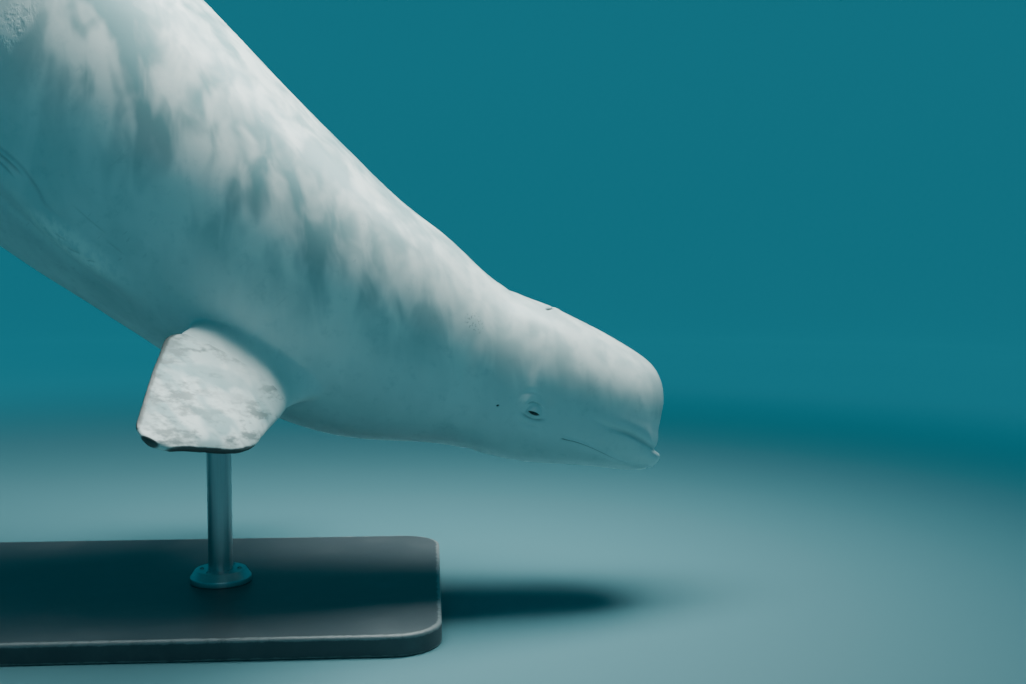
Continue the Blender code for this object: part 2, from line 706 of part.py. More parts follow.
def build_stand(grid, base_material, rod_material, collection):
    """Make the flat base, and a rod in a socket ring under the chest and under the loin."""
    mesh = bmesh.new()
    bmesh.ops.create_cube(mesh, size=1.0)
    bmesh.ops.scale(mesh, vec=Vector((BASE_LENGTH, BASE_WIDTH, BASE_HEIGHT)), verts=mesh.verts)
    upright = [edge for edge in mesh.edges
               if abs(edge.verts[0].co.z - edge.verts[1].co.z) > 0.5 * BASE_HEIGHT]
    bmesh.ops.bevel(mesh, geom=upright, offset=BASE_CORNER, segments=5, profile=0.5, affect="EDGES")
    data = bpy.data.meshes.new("stand_base")
    mesh.to_mesh(data)
    mesh.free()
    base = bpy.data.objects.new("stand_base", data)
    base.location = (0.0, 0.0, 0.5 * BASE_HEIGHT)
    rounding = base.modifiers.new("rounded_edge", "BEVEL")
    rounding.width = BASE_EDGE
    rounding.segments = 2
    rounding.angle_limit = math.radians(50.0)
    data.materials.append(base_material)
    collection.objects.link(base)
    tops = {}
    for name, place in ROD_PLACES:
        top = belly_height(grid, place) + ROD_INSERT
        tops[name] = (place, top)
        post = rod("stand_rod_" + name, place, BASE_HEIGHT + GAP, top, ROD_RADIUS, collection)
        post.data.materials.append(rod_material)
        ring = socket_ring("stand_socket_" + name, place, collection)
        ring.data.materials.append(rod_material)
    return tops


def socket_ring(name, place, collection):
    """Make the turned ring that holds the foot of a rod on the base."""
    inner = ROD_RADIUS + GAP
    outline = ((SOCKET_TOP_RADIUS, SOCKET_HEIGHT), (SOCKET_RADIUS, 0.45 * SOCKET_HEIGHT),
               (SOCKET_RADIUS, 0.0), (inner, 0.0), (inner, SOCKET_HEIGHT))
    mesh = bmesh.new()
    verts = [mesh.verts.new((x, 0.0, z)) for x, z in outline]
    for a, b in zip(verts, verts[1:] + verts[:1]):
        mesh.edges.new((a, b))
    data = bpy.data.meshes.new(name)
    mesh.to_mesh(data)
    mesh.free()
    ring = bpy.data.objects.new(name, data)
    ring.location = (place, 0.0, BASE_HEIGHT + GAP)
    collection.objects.link(ring)
    screw = ring.modifiers.new("turned", "SCREW")
    screw.steps = 24
    screw.render_steps = 24
    screw.use_merge_vertices = True
    screw.merge_threshold = 0.00005
    screw.use_smooth_shade = True
    return ring


def main():
    """Build the whale and its stand."""
    clear_scene()
    collection = new_collection("beluga_whale_model")
    cutters = new_collection("cutters")
    skin = make_material("skin", (0.80, 0.83, 0.82), 0.45)
    eye = make_material("eye", (0.02, 0.02, 0.025), 0.10)
    paint = make_material("base_paint", (0.12, 0.13, 0.14), 0.45)
    steel = make_material("rod_steel", (0.55, 0.56, 0.58), 0.30, 1.0)
    whale, grid, rows, columns = whole_whale(collection)
    pieces = part_whale(whale, grid, rows, columns, cutters)
    for name, centre in zip(("right", "left"), eye_centres()):
        socket = ball("eye_socket_" + name, centre, EYE_RADIUS + GAP, cutters)
        carve(pieces["head"], hide(socket))
        item = ball("eye_" + name, centre, EYE_RADIUS, collection)
        item.data.materials.append(eye)
    tops = build_stand(grid, paint, steel, collection)
    for name, held in (("front", "chest"), ("rear", "loin")):
        place, top = tops[name]
        hole = rod("hole_" + name, place, top - 0.30, top + GAP, ROD_RADIUS + GAP, cutters)
        carve(pieces[held], hide(hole))
    for piece in pieces.values():
        piece.data.materials.clear()
        piece.data.materials.append(skin)
        piece.data.shade_smooth()
        piece.data.set_sharp_from_angle(angle=math.radians(50.0))


main()
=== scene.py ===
"""The looks of a life-size beluga whale model on its display stand.

Metres, +Z up, in the frame of the solids: the head points towards +X and the whale's
right side towards -Y. The skin is drawn straight first, in body coordinates (distance
behind the snout, distance to the left, height over the spine), through the same ribs as
the solids. It is refined where the face needs it, bent into the dive, and then given its
folds, lids and lips along its own normals.
"""

import math
from contextlib import contextmanager
from typing import NamedTuple

import bmesh
import bpy
import mathutils
import numpy as np
from bpy.props import FloatProperty, FloatVectorProperty, IntProperty, PointerProperty
from bpy.types import Operator, Panel, PropertyGroup
from mathutils import Matrix, Vector
from mathutils.bvhtree import BVHTree


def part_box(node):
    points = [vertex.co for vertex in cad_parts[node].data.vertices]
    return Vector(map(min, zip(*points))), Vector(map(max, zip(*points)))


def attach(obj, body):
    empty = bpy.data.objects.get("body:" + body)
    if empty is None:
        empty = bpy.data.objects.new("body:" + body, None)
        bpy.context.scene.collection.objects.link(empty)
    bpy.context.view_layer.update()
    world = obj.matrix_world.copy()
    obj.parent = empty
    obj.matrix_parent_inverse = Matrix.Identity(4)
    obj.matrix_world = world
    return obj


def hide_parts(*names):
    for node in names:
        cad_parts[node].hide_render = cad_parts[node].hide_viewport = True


bl_info = {
    "name": "Beluga Whale Model",
    "version": (1, 0, 0),
    "blender": (4, 5, 0),
    "location": "3D View > Sidebar > Whale",
    "description": "Skin, eyes, stand finishes and studio of a life-size beluga whale model",
    "category": "Object",
}

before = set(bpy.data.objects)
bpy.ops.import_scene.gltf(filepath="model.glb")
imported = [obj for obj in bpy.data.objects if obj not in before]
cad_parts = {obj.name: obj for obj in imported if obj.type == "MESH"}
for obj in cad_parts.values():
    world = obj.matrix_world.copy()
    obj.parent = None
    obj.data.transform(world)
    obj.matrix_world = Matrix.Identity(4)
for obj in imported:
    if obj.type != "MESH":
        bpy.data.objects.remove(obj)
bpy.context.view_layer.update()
FLESH = [name for name in sorted(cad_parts) if not name.startswith(("stand_", "eye_"))]

# Place of the whale over its base, and the pitch of its spine below level in degrees
SNOUT_FORWARD = 1.36
AXIS_HEIGHT = 0.41
HEAD_PITCH = 15.0
TRUNK_PITCH = 41.0
TAIL_PITCH = 8.0
NECK_BEND = (0.40, 1.00)
LOIN_BEND = (2.00, 3.60)
SPINE_REACH = (-0.20, 4.10)
SPINE_POINTS = 4301

# Ribs of the body: back point, belly point (each behind the snout, over the spine),
# half width, and how far the widest point of the rib lies behind its ends
RIBS = (
    ("melon_front", -0.004, 0.000, -0.004, 0.000, 0.000, 0.000),
    ("melon_face", -0.003, 0.032, -0.006, -0.022, 0.048, 0.005),
    ("melon_brow", 0.001, 0.062, -0.009, -0.046, 0.082, 0.018),
    ("beak_notch", 0.013, 0.091, -0.013, -0.066, 0.105, 0.034),
    ("beak_top", 0.036, 0.119, -0.023, -0.074, 0.121, 0.050),
    ("beak_tip", 0.068, 0.138, -0.027, -0.084, 0.133, 0.063),
    ("lip", 0.105, 0.151, -0.022, -0.099, 0.142, 0.072),
    ("chin", 0.150, 0.164, 0.004, -0.117, 0.149, 0.075),
    ("jaw", 0.200, 0.176, 0.060, -0.131, 0.156, 0.065),
    ("mouth_corner", 0.260, 0.188, 0.135, -0.142, 0.162, 0.045),
    ("eye", 0.320, 0.198, 0.220, -0.157, 0.168, 0.025),
    ("blowhole", 0.375, 0.204, 0.310, -0.171, 0.172, 0.010),
    ("nape", 0.425, 0.212, 0.400, -0.172, 0.176, 0.000),
    ("neck", 0.520, 0.248, 0.510, -0.184, 0.195, 0.000),
    ("shoulder", 0.640, 0.284, 0.640, -0.229, 0.233, 0.000),
    ("flipper_front", 0.800, 0.301, 0.800, -0.272, 0.284, 0.000),
    ("flipper_rear", 1.020, 0.316, 1.020, -0.300, 0.324, 0.000),
    ("chest", 1.250, 0.333, 1.250, -0.327, 0.347, 0.000),
    ("girth", 1.550, 0.361, 1.550, -0.358, 0.357, 0.000),
    ("navel", 1.850, 0.364, 1.850, -0.352, 0.345, 0.000),
    ("loin", 2.200, 0.328, 2.200, -0.300, 0.290, 0.000),
    ("vent", 2.600, 0.258, 2.600, -0.220, 0.200, 0.000),
    ("stock_front", 2.950, 0.192, 2.950, -0.158, 0.125, 0.000),
    ("stock", 3.250, 0.140, 3.250, -0.116, 0.070, 0.000),
    ("stock_end", 3.420, 0.115, 3.420, -0.100, 0.050, 0.000),
)

# Steps along the body and round it, in degrees, over which its normals are measured, and
# how far behind a ring's middle lies a point that is surely inside
NORMAL_STEP = 0.002
NORMAL_TURN = 0.5
INSIDE_BEHIND = 0.1

# Height of the widest level, and the fullness above and below it, along the body
SECTION_STOPS = (0.0, 0.45, 1.20, 2.20, 3.10, 3.42)
WIDEST_LEVEL = (0.48, 0.47, 0.47, 0.50, 0.50, 0.50)
UPPER_FULLNESS = (2.1, 2.25, 2.1, 1.95, 1.75, 1.75)
LOWER_FULLNESS = (2.1, 2.0, 2.2, 2.1, 1.75, 1.75)

# Flukes: the leading edge from the tail stock to the tip (share of the fluke ribs,
# place behind the snout, distance from the middle), the notch and the trailing edge
FLUKE_ROOT = 3.42
FLUKE_NOTCH = 3.80
FLUKE_LEAD = (
    (0.0, 3.420, 0.050),
    (0.2, 3.468, 0.098),
    (0.4, 3.530, 0.190),
    (0.6, 3.605, 0.300),
    (0.8, 3.695, 0.398),
    (1.0, 3.805, 0.455),
)
FLUKE_TRAIL_BULGE = 0.085
FLUKE_TRAIL_SKEW = 0.85
FLUKE_HALF_THICKNESS = 0.028
FLUKE_THINNING = 0.75
FLUKE_EDGE = 0.003
FLUKE_SETTLE = 0.33
FLUKE_MARK_FADE = 0.3
KEEL_END = 0.010
KEEL_THINNING = 1.2
KEEL_HALF_WIDTH = (0.055, 0.030)

# Low ridge along the back
RIDGE_SPAN = (1.80, 2.46)
RIDGE_HEIGHT = 0.016
RIDGE_HALF_WIDTH = 0.034
RIDGE_ARCH = 0.7

# Flippers: the patch of the side that each grows from and the oval foot inside it, the
# right one's directions out and forwards, and its edges before and behind its axis by
# shares of its length. Its hind part curls up, its rings crowd towards the tip, and its
# first and last rings have a share just over 0 and just under 1
PATCH_SPAN = (0.64, 1.12)
PATCH_ANGLES = (90.0, 153.0)
FOOT_PLACE = (0.862, 124.0)
FOOT_HALF = (0.142, 15.0)
FOOT_INWARD = 0.1
FLIPPER_ROOT = (0.856, 124.0)
FLIPPER_ROOT_OUT = 0.025
FLIPPER_LENGTH = 0.444
FLIPPER_AXIS = (0.025, -0.908, -0.418)
FLIPPER_CHORD = (0.731, 0.302, -0.612)
FLIPPER_STOPS = (0.0, 0.155, 0.333, 0.49, 0.644, 0.80, 0.90, 1.0)
FLIPPER_LEAD = (0.099, 0.085, 0.061, 0.040, 0.010, -0.058, -0.106, -0.142)
FLIPPER_TRAIL = (-0.099, -0.184, -0.204, -0.206, -0.206, -0.204, -0.203, -0.203)
FLIPPER_HALF_THICKNESS = (0.038, 0.032, 0.024, 0.019, 0.016, 0.013, 0.011, 0.009)
FLIPPER_ROUND = 0.93
FLIPPER_FULLER_LEAD = 0.30
FLIPPER_TIP_CURL = 0.008
FLIPPER_HIND_CURL = 0.010
FLIPPER_HIND_WIDTH = 0.14
FLIPPER_HIND_LIMIT = 1.2
FLIPPER_HIND_START = 1.6
FLIPPER_CROWDING = 1.5
FLIPPER_LAST = 0.99995
FLIPPER_FIRST = 0.0001
FLIPPER_FILLET = 0.13
FILLET_PULL = (0.050, 0.070)

# The dark rim of a flipper, partly the fin's own dark edge and partly painted shade along its
# rounded edges: how fast it thins on the leading edge, where that edge turns clean towards the
# root and how fast, and how fast the rim thins at the tip
LEAD_RIM = 1.2
LEAD_RIM_START = 0.62
LEAD_RIM_EASE = 0.08
TIP_RIM = 1.5

# Eyes, and the lids over them. A lid's rim has a height, an inset and a width, and ends at
# the slit's corners. The eye's seat is looked for between two places and two angles, in so
# many steps
EYE_BEHIND = 0.306
EYE_LEVEL = -0.034
EYE_RADIUS = 0.016
EYE_DEPTH = 0.0105
LID_THICKNESS = 0.0024
LID_TILT = 8.0
LID_BLEND = 0.010
SLIT_HALF_WIDTH = 0.0130
SLIT_OVER = 0.0034
SLIT_UNDER = 0.0023
SLIT_EDGE = 0.0012
SLIT_FLOOR = 0.0130
# Painted shade inside the eye's slit: its width, and where it begins
SLIT_SHADE = 0.002
SLIT_SHADE_START = 0.9
LID_SEARCH_PLACES = (0.15, 0.45, 241)
LID_SEARCH_ANGLES = (63.0, 135.0, 161)
LID_REACH = 0.045
LID_INSIDE = -0.02
LID_SKIRT = 3.0
LID_RIM = (0.0007, 0.0012, 0.0010)
LID_RIM_END = 2.2
EYE_TURNS = 48
EYE_RINGS = 34
EYE_POLE = 0.03
GAZE_FORWARD = 0.10
GAZE_DOWN = 0.04

# Where the head's close rings begin to widen and over what length, and the rows of the mesh
# where no step sets them
HEAD_END = 0.45
HEAD_EASE = 0.50
FLUKE_ROWS = 34
PATCH_RINGS = 8
FILLET_RINGS = 12
FLIPPER_RINGS = 40

# Size of the skin's faces: at the eye (and how far round it), on the slit's rim (and how
# wide a band), and how much it grows for each metre away from the eye or a fold
FINEST_PASSES = 4
LONGEST_EDGE = 1.45
COARSEST_FACE = 1.0
EYE_FACE = 0.0017
EYE_FACE_REACH = 0.019
RIM_FACE = 0.0006
RIM_FACE_BAND = 0.0022
RIM_FACE_MARGIN = 0.004
FACE_GROWTH = 0.35
FOLD_FACE_REACH = 0.05
FOLD_FACE_CALM = 1.6
SNOUT_CAP = 0.02

# Marks that the skin's points carry, the distance of what is far from an edge, and the
# place given to points that lie off the body
MARKS = ("place", "cosine", "sine", "limb", "hind", "tip")
FAR = 1.0
OFF_BODY = 9.0


class Crease(NamedTuple):
    """A fold of the right side, along marks on the skin: distance along it and angle round it."""
    name: str
    marks: tuple
    depth: float
    width: float
    fine: float
    above: float = 0.0
    below: float = 0.0
    reach: float = 0.008
    fade: tuple = (0.0, 0.15)
    sharp: float = 2.0
    # dark: strength of the painted shade laid along the fold's line
    dark: float = 0.6


# Sizes of the three short nicks in the flank's roll, with the painted shade in them
NICK = dict(depth=0.0017, width=0.0020, fine=0.0020, above=0.0008, below=0.0008, reach=0.006,
            fade=(0.4, 0.4), dark=0.34)

# Folds and lines of the skin, most with painted shade along their line (dark), strongest in the
# mouth, blowhole, ear and vent. The mouth's upper lip stands over a tucked lower one, and a
# fold with a depth below zero is a raised roll.
CREASES = (
    Crease("mouth", ((0.170, 180.0), (0.173, 170.0), (0.183, 160.5), (0.202, 152.5), (0.220, 148.2),
                     (0.237, 143.3), (0.260, 136.7), (0.292, 130.6), (0.324, 126.9), (0.348, 125.4),
                     (0.362, 123.8)),
           0.0055, 0.0019, 0.0011, above=0.0028, below=-0.0024, reach=0.0045, fade=(0.0, 0.10),
           sharp=1.4, dark=1.0),
    Crease("melon_fold", ((0.066, 180.0), (0.070, 168.0), (0.080, 158.0), (0.095, 149.0), (0.112, 141.0),
                          (0.144, 122.0), (0.173, 113.0), (0.203, 108.5), (0.230, 104.5), (0.262, 101.0)),
           0.0048, 0.0060, 0.0026, above=0.0034, below=0.0012, reach=0.020, fade=(0.0, 0.40), dark=0.35),
    Crease("upper_lip", ((0.118, 180.0), (0.124, 165.0), (0.142, 150.0), (0.175, 138.0), (0.215, 128.0),
                         (0.262, 121.0)),
           -0.0014, 0.0100, 0.0040, fade=(0.0, 0.5), dark=0.0),
    Crease("blowhole", ((0.371, 0.0), (0.373, 4.0), (0.380, 9.5), (0.390, 14.5), (0.403, 20.5)),
           0.0095, 0.0033, 0.0013, above=0.0006, below=0.0018, reach=0.009, fade=(0.0, 0.16),
           sharp=1.5, dark=1.0),
    Crease("nuchal", ((0.524, 0.0), (0.521, 7.0), (0.512, 14.0), (0.498, 22.0), (0.478, 34.0)),
           0.0016, 0.0080, 0.0045, above=0.0008, below=0.0008, reach=0.022, fade=(0.0, 0.75), dark=0.15),
    Crease("temple", ((0.452, 40.0), (0.441, 54.0), (0.434, 70.0), (0.430, 90.0)),
           0.0034, 0.0105, 0.0060, above=0.0, below=0.0, reach=0.02, fade=(0.35, 0.25), dark=0.12),
    Crease("eye_bag", ((0.462, 103.5), (0.444, 108.0), (0.424, 110.0), (0.404, 109.8), (0.386, 107.0)),
           0.0034, 0.0028, 0.0016, above=0.0006, below=0.0016, reach=0.009, fade=(0.3, 0.35), dark=0.42),
    Crease("eye_bag_low", ((0.470, 109.5), (0.446, 114.0), (0.420, 115.5), (0.396, 113.5)),
           0.0016, 0.0040, 0.0026, above=0.0, below=0.0008, reach=0.011, fade=(0.4, 0.4), dark=0.15),
    Crease("lid_fold", ((0.452, 101.0), (0.437, 98.0), (0.420, 97.2), (0.404, 99.0), (0.394, 101.6)),
           0.0024, 0.0020, 0.0013, above=0.0009, below=0.0004, reach=0.006, fade=(0.35, 0.35), dark=0.36),
    Crease("brow_fold", ((0.462, 94.0), (0.440, 90.5), (0.416, 90.5), (0.394, 94.0)),
           0.0014, 0.0036, 0.0026, above=0.0006, below=0.0004, reach=0.009, fade=(0.4, 0.4), dark=0.12),
    Crease("ear", ((0.5120, 105.0), (0.5135, 105.3)),
           0.0030, 0.0017, 0.0012, above=0.0006, below=0.0006, reach=0.004, dark=1.0, fade=(0.0, 0.0)),
    Crease("throat_front", ((0.455, 180.0), (0.456, 160.0), (0.462, 140.0), (0.474, 122.0)),
           0.0012, 0.0100, 0.0065, above=0.0006, below=0.0006, reach=0.026, fade=(0.0, 0.5), dark=0.12),
    Crease("throat_rear", ((0.545, 180.0), (0.543, 162.0), (0.548, 142.0), (0.560, 120.0), (0.572, 100.0)),
           0.0015, 0.0110, 0.0070, above=0.0008, below=0.0008, reach=0.030, fade=(0.0, 0.5), dark=0.12),
    Crease("neck_side", ((0.590, 120.0), (0.600, 100.0), (0.606, 78.0), (0.600, 58.0)),
           0.0020, 0.0130, 0.0090, above=0.0010, below=0.0010, reach=0.032, fade=(0.4, 0.4), dark=0.08),
    Crease("flank_roll", ((1.20, 131.0), (1.315, 125.5), (1.363, 124.5), (1.425, 123.0), (1.494, 120.5),
                          (1.56, 118.0), (1.70, 116.5), (1.95, 118.0), (2.25, 122.0), (2.55, 127.0)),
           -0.0150, 0.0290, 0.0130, fade=(0.12, 0.35), dark=0.0),
    Crease("roll_top", ((1.353, 118.5), (1.40, 117.5), (1.46, 116.0), (1.500, 115.0), (1.524, 112.7),
                        (1.576, 109.4), (1.634, 108.8), (1.76, 109.5), (1.95, 111.5), (2.20, 115.5)),
           0.0034, 0.0046, 0.0040, above=0.0014, below=0.0008, reach=0.016, fade=(0.45, 0.4), dark=0.30),
    Crease("roll_top_second", ((1.545, 112.4), (1.585, 110.9), (1.640, 110.5), (1.75, 111.6), (1.88, 113.4)),
           0.0026, 0.0030, 0.0030, above=0.0012, below=0.0012, reach=0.009, fade=(0.3, 0.5), dark=0.38),
    Crease("roll_top_third", ((1.560, 114.2), (1.600, 112.7), (1.660, 112.4), (1.74, 113.6)),
           0.0020, 0.0028, 0.0030, above=0.0008, below=0.0008, reach=0.008, fade=(0.3, 0.5), dark=0.36),
    Crease("roll_under", ((1.24, 137.0), (1.36, 131.5), (1.48, 127.5), (1.62, 124.5), (1.85, 125.0),
                          (2.15, 129.0)),
           0.0034, 0.0090, 0.0070, above=0.0, below=0.0016, reach=0.024, fade=(0.3, 0.5), dark=0.12),
    Crease("roll_nick_front", ((1.352, 122.2), (1.367, 122.9), (1.380, 124.6)), **NICK),
    Crease("roll_nick_mid", ((1.384, 122.2), (1.404, 123.4), (1.428, 124.4)), **NICK),
    Crease("roll_nick_rear", ((1.418, 121.4), (1.440, 121.6), (1.468, 122.0)), **NICK),
    Crease("flank_line", ((1.340, 110.9), (1.391, 110.3), (1.440, 109.5), (1.49, 108.6)),
           0.0012, 0.0020, 0.0026, above=0.0006, below=0.0004, reach=0.006, fade=(0.4, 0.4), dark=0.28),
    Crease("flank_line_low", ((1.300, 113.8), (1.340, 113.2), (1.386, 112.6)),
           0.0010, 0.0020, 0.0026, above=0.0004, below=0.0004, reach=0.006, fade=(0.4, 0.4), dark=0.25),
    Crease("armpit", ((1.075, 112.0), (1.105, 122.0), (1.118, 134.0), (1.108, 145.0)),
           0.0034, 0.0100, 0.0070, above=0.0012, below=0.0012, reach=0.026, fade=(0.35, 0.35), dark=0.12),
    Crease("navel", ((1.925, 180.0), (1.960, 180.0)),
           0.0050, 0.0065, 0.0030, above=0.0016, below=0.0016, reach=0.014, fade=(0.3, 0.3), dark=0.6),
    Crease("vent_slit", ((2.540, 180.0), (2.620, 180.0), (2.700, 180.0)),
           0.0075, 0.0034, 0.0024, above=0.0030, below=0.0030, reach=0.012, fade=(0.25, 0.25),
           sharp=1.5, dark=0.9),
    Crease("vent_rear", ((2.790, 180.0), (2.806, 180.0)),
           0.0050, 0.0034, 0.0024, above=0.0016, below=0.0016, reach=0.010, fade=(0.3, 0.3), dark=0.9),
)

# Points along each fold's line, how far from it its lips still stand, how wide they are,
# and how much wider its shade is than its cut
LINE_POINTS = 64
CREASE_REACH = 4.0
LIP_WIDTH = 0.8
SHADE_WIDTH = 1.25

# Soft swellings and hollows: place and angle on the skin, height and radius
SWELLINGS = (
    ("brow", 0.446, 97.5, 0.0042, 0.015),
    ("before_eye", 0.371, 100.0, 0.0036, 0.014),
    ("eye_hollow", 0.405, 104.0, -0.0030, 0.050),
    ("cheek", 0.400, 122.0, 0.0045, 0.040),
    ("blowhole_lip", 0.362, 11.0, 0.0022, 0.020),
    ("jaw_side", 0.270, 146.0, 0.0020, 0.030),
)

# Folds across the flippers (share of the length, depth, slant), their width, waviness and
# shade, and the bead along the edges (height, distance from the edge, width)
FLIPPER_FOLDS = (
    (0.34, 0.0014, 0.10),
    (0.40, 0.0018, 0.16),
    (0.47, 0.0012, 0.04),
    (0.63, 0.0016, -0.05),
    (0.70, 0.0012, 0.06),
    (0.80, 0.0010, -0.08),
)
FLIPPER_FOLD_WIDTH = 0.009
FLIPPER_FOLD_SWAY = 0.010
FLIPPER_FOLD_WAVES = 90.0
FLIPPER_FOLD_REACH = 0.10
FLIPPER_FOLD_END = 1.3
FLIPPER_FOLD_SHADE = 0.35
FLIPPER_BEAD = (0.0014, 0.006, 0.005)

# Soft waves of the skin: height, and how many there are in a metre
WAVES = ((0.0022, 3.1), (0.0009, 11.0), (0.0003, 40.0))
LIMB_WAVES = 0.35

# Marks on the right side, a rubbed streak, a patch of painted light on the flank's roll and
# scuffs: place, angle from the back, reach along the body, and spread over it as a cosine
RUBBED_STREAK = (1.765, 92.0, 0.045, 0.50)
PAINTED_LIGHT_ROLL = (1.42, 122.5, 0.14, 0.11)
NECK_SCUFFS = (0.607, 63.5, 0.032, 0.11)
ALONG_TRUNK = (0.0, TRUNK_PITCH, 0.0)

# Stand. The base's rubbed edges fade up its sides and inwards over its top, and the
# gaskets' seats are looked for upwards from under the belly
BASE_HALF = (0.85, 0.43)
BASE_HEIGHT = 0.045
BASE_CORNER = 0.10
BASE_EDGE = 0.006
BASE_CHAMFER = 0.003
BASE_FADE = 0.3
BASE_FADE_UP = 0.010
BASE_FADE_DOWN = 0.008
BASE_FADE_INWARD = (0.018, 0.045)
SOCKET_RADIUS = 0.070
SOCKET_TOP_RADIUS = 0.058
SOCKET_HEIGHT = 0.030
SOCKET_SHOULDER = 0.45
ROD_GAP = 0.0003
ROUND = 0.0012
CORNER_POINTS = 13
EDGE_STEPS = 4
ROD_SIDES = 72
SCREW_SIDES = 24
GASKET_RADIUS = 0.0055
GASKET_SINK = 0.0015
GASKET_POINTS = 64
GASKET_SIDES = 12
UNDER_BELLY = 0.06
SHARP_ANGLE = 32.0
SCREW_SHARP_ANGLE = 35.0


class Lamp(NamedTuple):
    """A soft rectangular light: its place, what it faces, the way its long side runs, and its sides."""
    name: str
    place: tuple
    aim: tuple
    along: tuple
    size: tuple
    colour: tuple


# Studio: the lights, the camera, the floor's level rings, the height under which a rim
# belongs to its middle, and from where to where the backdrop's glow grows
KEY_LAMP = Lamp("key_light", (0.50, 0.03, 2.75), (-0.15, 0.0, 1.15), (-0.86, -0.24, 0.46),
                (3.6, 0.9), (0.87, 1.0, 0.98))
FILL_LAMP = Lamp("fill_light", (1.6, -5.2, 2.6), (0.6, 0.0, 0.7), (1.0, 0.0, 0.0),
                 (1.8, 1.1), (0.70, 0.93, 1.0))
LAMP_SPREAD = 130.0
CAMERA_PLACE = (0.8299, -2.7434, 0.7918)
CAMERA_YAW = 4.0
CAMERA_DIP = 4.0
CAMERA_LENS = 41.404
CAMERA_SENSOR = 36.0
CAMERA_RANGE = (0.05, 100.0)
FLOOR_RINGS = (0.5, 1.2, 3.0, 6.0)
FLOOR_LEVEL = 0.001
FLOOR_SIDES = 96
FLOOR_CURVE_STEPS = 16
FLOOR_CLOUDS = 0.96
GLOW_REACH = (1.0, 5.5)


def ease(value):
    """Rise smoothly from 0 to 1 as the value goes from 0 to 1."""
    value = np.clip(value, 0.0, 1.0)
    return value * value * (3.0 - 2.0 * value)


def smooth_curve(knots, values):
    """Return a function that runs smoothly through the values at the knots."""
    knots = np.asarray(knots, float)
    values = np.asarray(values, float)
    count = len(knots)
    steps = np.diff(knots)
    matrix = np.eye(count)
    right = np.zeros_like(values)
    for i in range(1, count - 1):
        matrix[i, i - 1] = steps[i - 1]
        matrix[i, i] = 2.0 * (steps[i - 1] + steps[i])
        matrix[i, i + 1] = steps[i]
        after = (values[i + 1] - values[i]) / steps[i]
        before = (values[i] - values[i - 1]) / steps[i - 1]
        right[i] = 6.0 * (after - before)
    bends = np.linalg.solve(matrix, right)

    def curve(place):
        place = np.asarray(place, float)
        i = np.clip(np.searchsorted(knots, place, side="right") - 1, 0, count - 2)
        width = steps[i][..., None]
        b = (place - knots[i])[..., None] / width
        a = 1.0 - b
        pull = ((a ** 3 - a) * bends[i] + (b ** 3 - b) * bends[i + 1]) * width * width / 6.0
        return a * values[i] + b * values[i + 1] + pull

    return curve


def spine_table():
    """Return the spine's places, its points over the floor and its pitch."""
    along = np.linspace(*SPINE_REACH, SPINE_POINTS)
    neck = ease((along - NECK_BEND[0]) / (NECK_BEND[1] - NECK_BEND[0]))
    loin = ease((along - LOIN_BEND[0]) / (LOIN_BEND[1] - LOIN_BEND[0]))
    pitch = HEAD_PITCH + (TRUNK_PITCH - HEAD_PITCH) * neck + (TAIL_PITCH - TRUNK_PITCH) * loin
    pitch = np.radians(pitch)
    step = along[1] - along[0]
    middle = 0.5 * (pitch[1:] + pitch[:-1])
    back = np.concatenate([[0.0], np.cumsum(-np.cos(middle) * step)])
    up = np.concatenate([[0.0], np.cumsum(np.sin(middle) * step)])
    back = back - np.interp(0.0, along, back) + SNOUT_FORWARD
    up = up - np.interp(0.0, along, up) + AXIS_HEIGHT
    return along, back, up, pitch


SPINE = spine_table()


def bend(points):
    """Carry points from body coordinates to the bent whale."""
    along, back, up, pitch = SPINE
    behind = points[..., 0]
    angle = np.interp(behind, along, pitch)
    x = np.interp(behind, along, back) + points[..., 2] * np.sin(angle)
    z = np.interp(behind, along, up) + points[..., 2] * np.cos(angle)
    return np.stack([x, points[..., 1], z], axis=-1)


def rib_knots():
    """Return the distance along the body at which each rib stands, and the ribs as a table."""
    table = np.array([rib[1:] for rib in RIBS])
    back = np.hypot(*np.diff(table[:, 0:2], axis=0).T)
    belly = np.hypot(*np.diff(table[:, 2:4], axis=0).T)
    return np.concatenate([[0.0], np.cumsum(0.5 * (back + belly))]), table


KNOTS, RIB_TABLE = rib_knots()
RIB_CURVE = smooth_curve(KNOTS, RIB_TABLE)
SECTION_CURVE = smooth_curve(
    SECTION_STOPS, np.stack([WIDEST_LEVEL, UPPER_FULLNESS, LOWER_FULLNESS], axis=1))
FLUKE_EDGE_CURVE = smooth_curve([row[0] for row in FLUKE_LEAD], [row[1:] for row in FLUKE_LEAD])
FLIPPER_EDGE_CURVE = smooth_curve(
    FLIPPER_STOPS, np.stack([FLIPPER_LEAD, FLIPPER_TRAIL, FLIPPER_HALF_THICKNESS], axis=1))


def body_point(place, cosine, sine):
    """Return points of the straight body at distances along it and angles round it from the back."""
    top_s, top_z, low_s, low_z, half, sweep = np.moveaxis(RIB_CURVE(place), -1, 0)
    middle = np.clip(0.5 * (top_s + low_s), SECTION_STOPS[0], SECTION_STOPS[-1])
    level, upper, lower = np.moveaxis(SECTION_CURVE(middle), -1, 0)
    upright = cosine >= 0.0
    power = np.where(upright, 2.0 / upper, 2.0 / lower)
    side = half * np.sign(sine) * np.abs(sine) ** power
    rise = np.abs(cosine) ** power
    wide_s = low_s + level * (top_s - low_s)
    wide_z = low_z + level * (top_z - low_z)
    behind = wide_s + (np.where(upright, top_s, low_s) - wide_s) * rise + sweep * sine ** 2
    over = wide_z + (np.where(upright, top_z, low_z) - wide_z) * rise
    reach = np.clip((behind - RIDGE_SPAN[0]) / (RIDGE_SPAN[1] - RIDGE_SPAN[0]), 0.0, 1.0)
    swell = np.sin(math.pi * reach) ** RIDGE_ARCH
    over = over + RIDGE_HEIGHT * swell * np.exp(-(side / RIDGE_HALF_WIDTH) ** 2) * (over > 0.0)
    return np.stack([behind, -side, over], axis=-1)


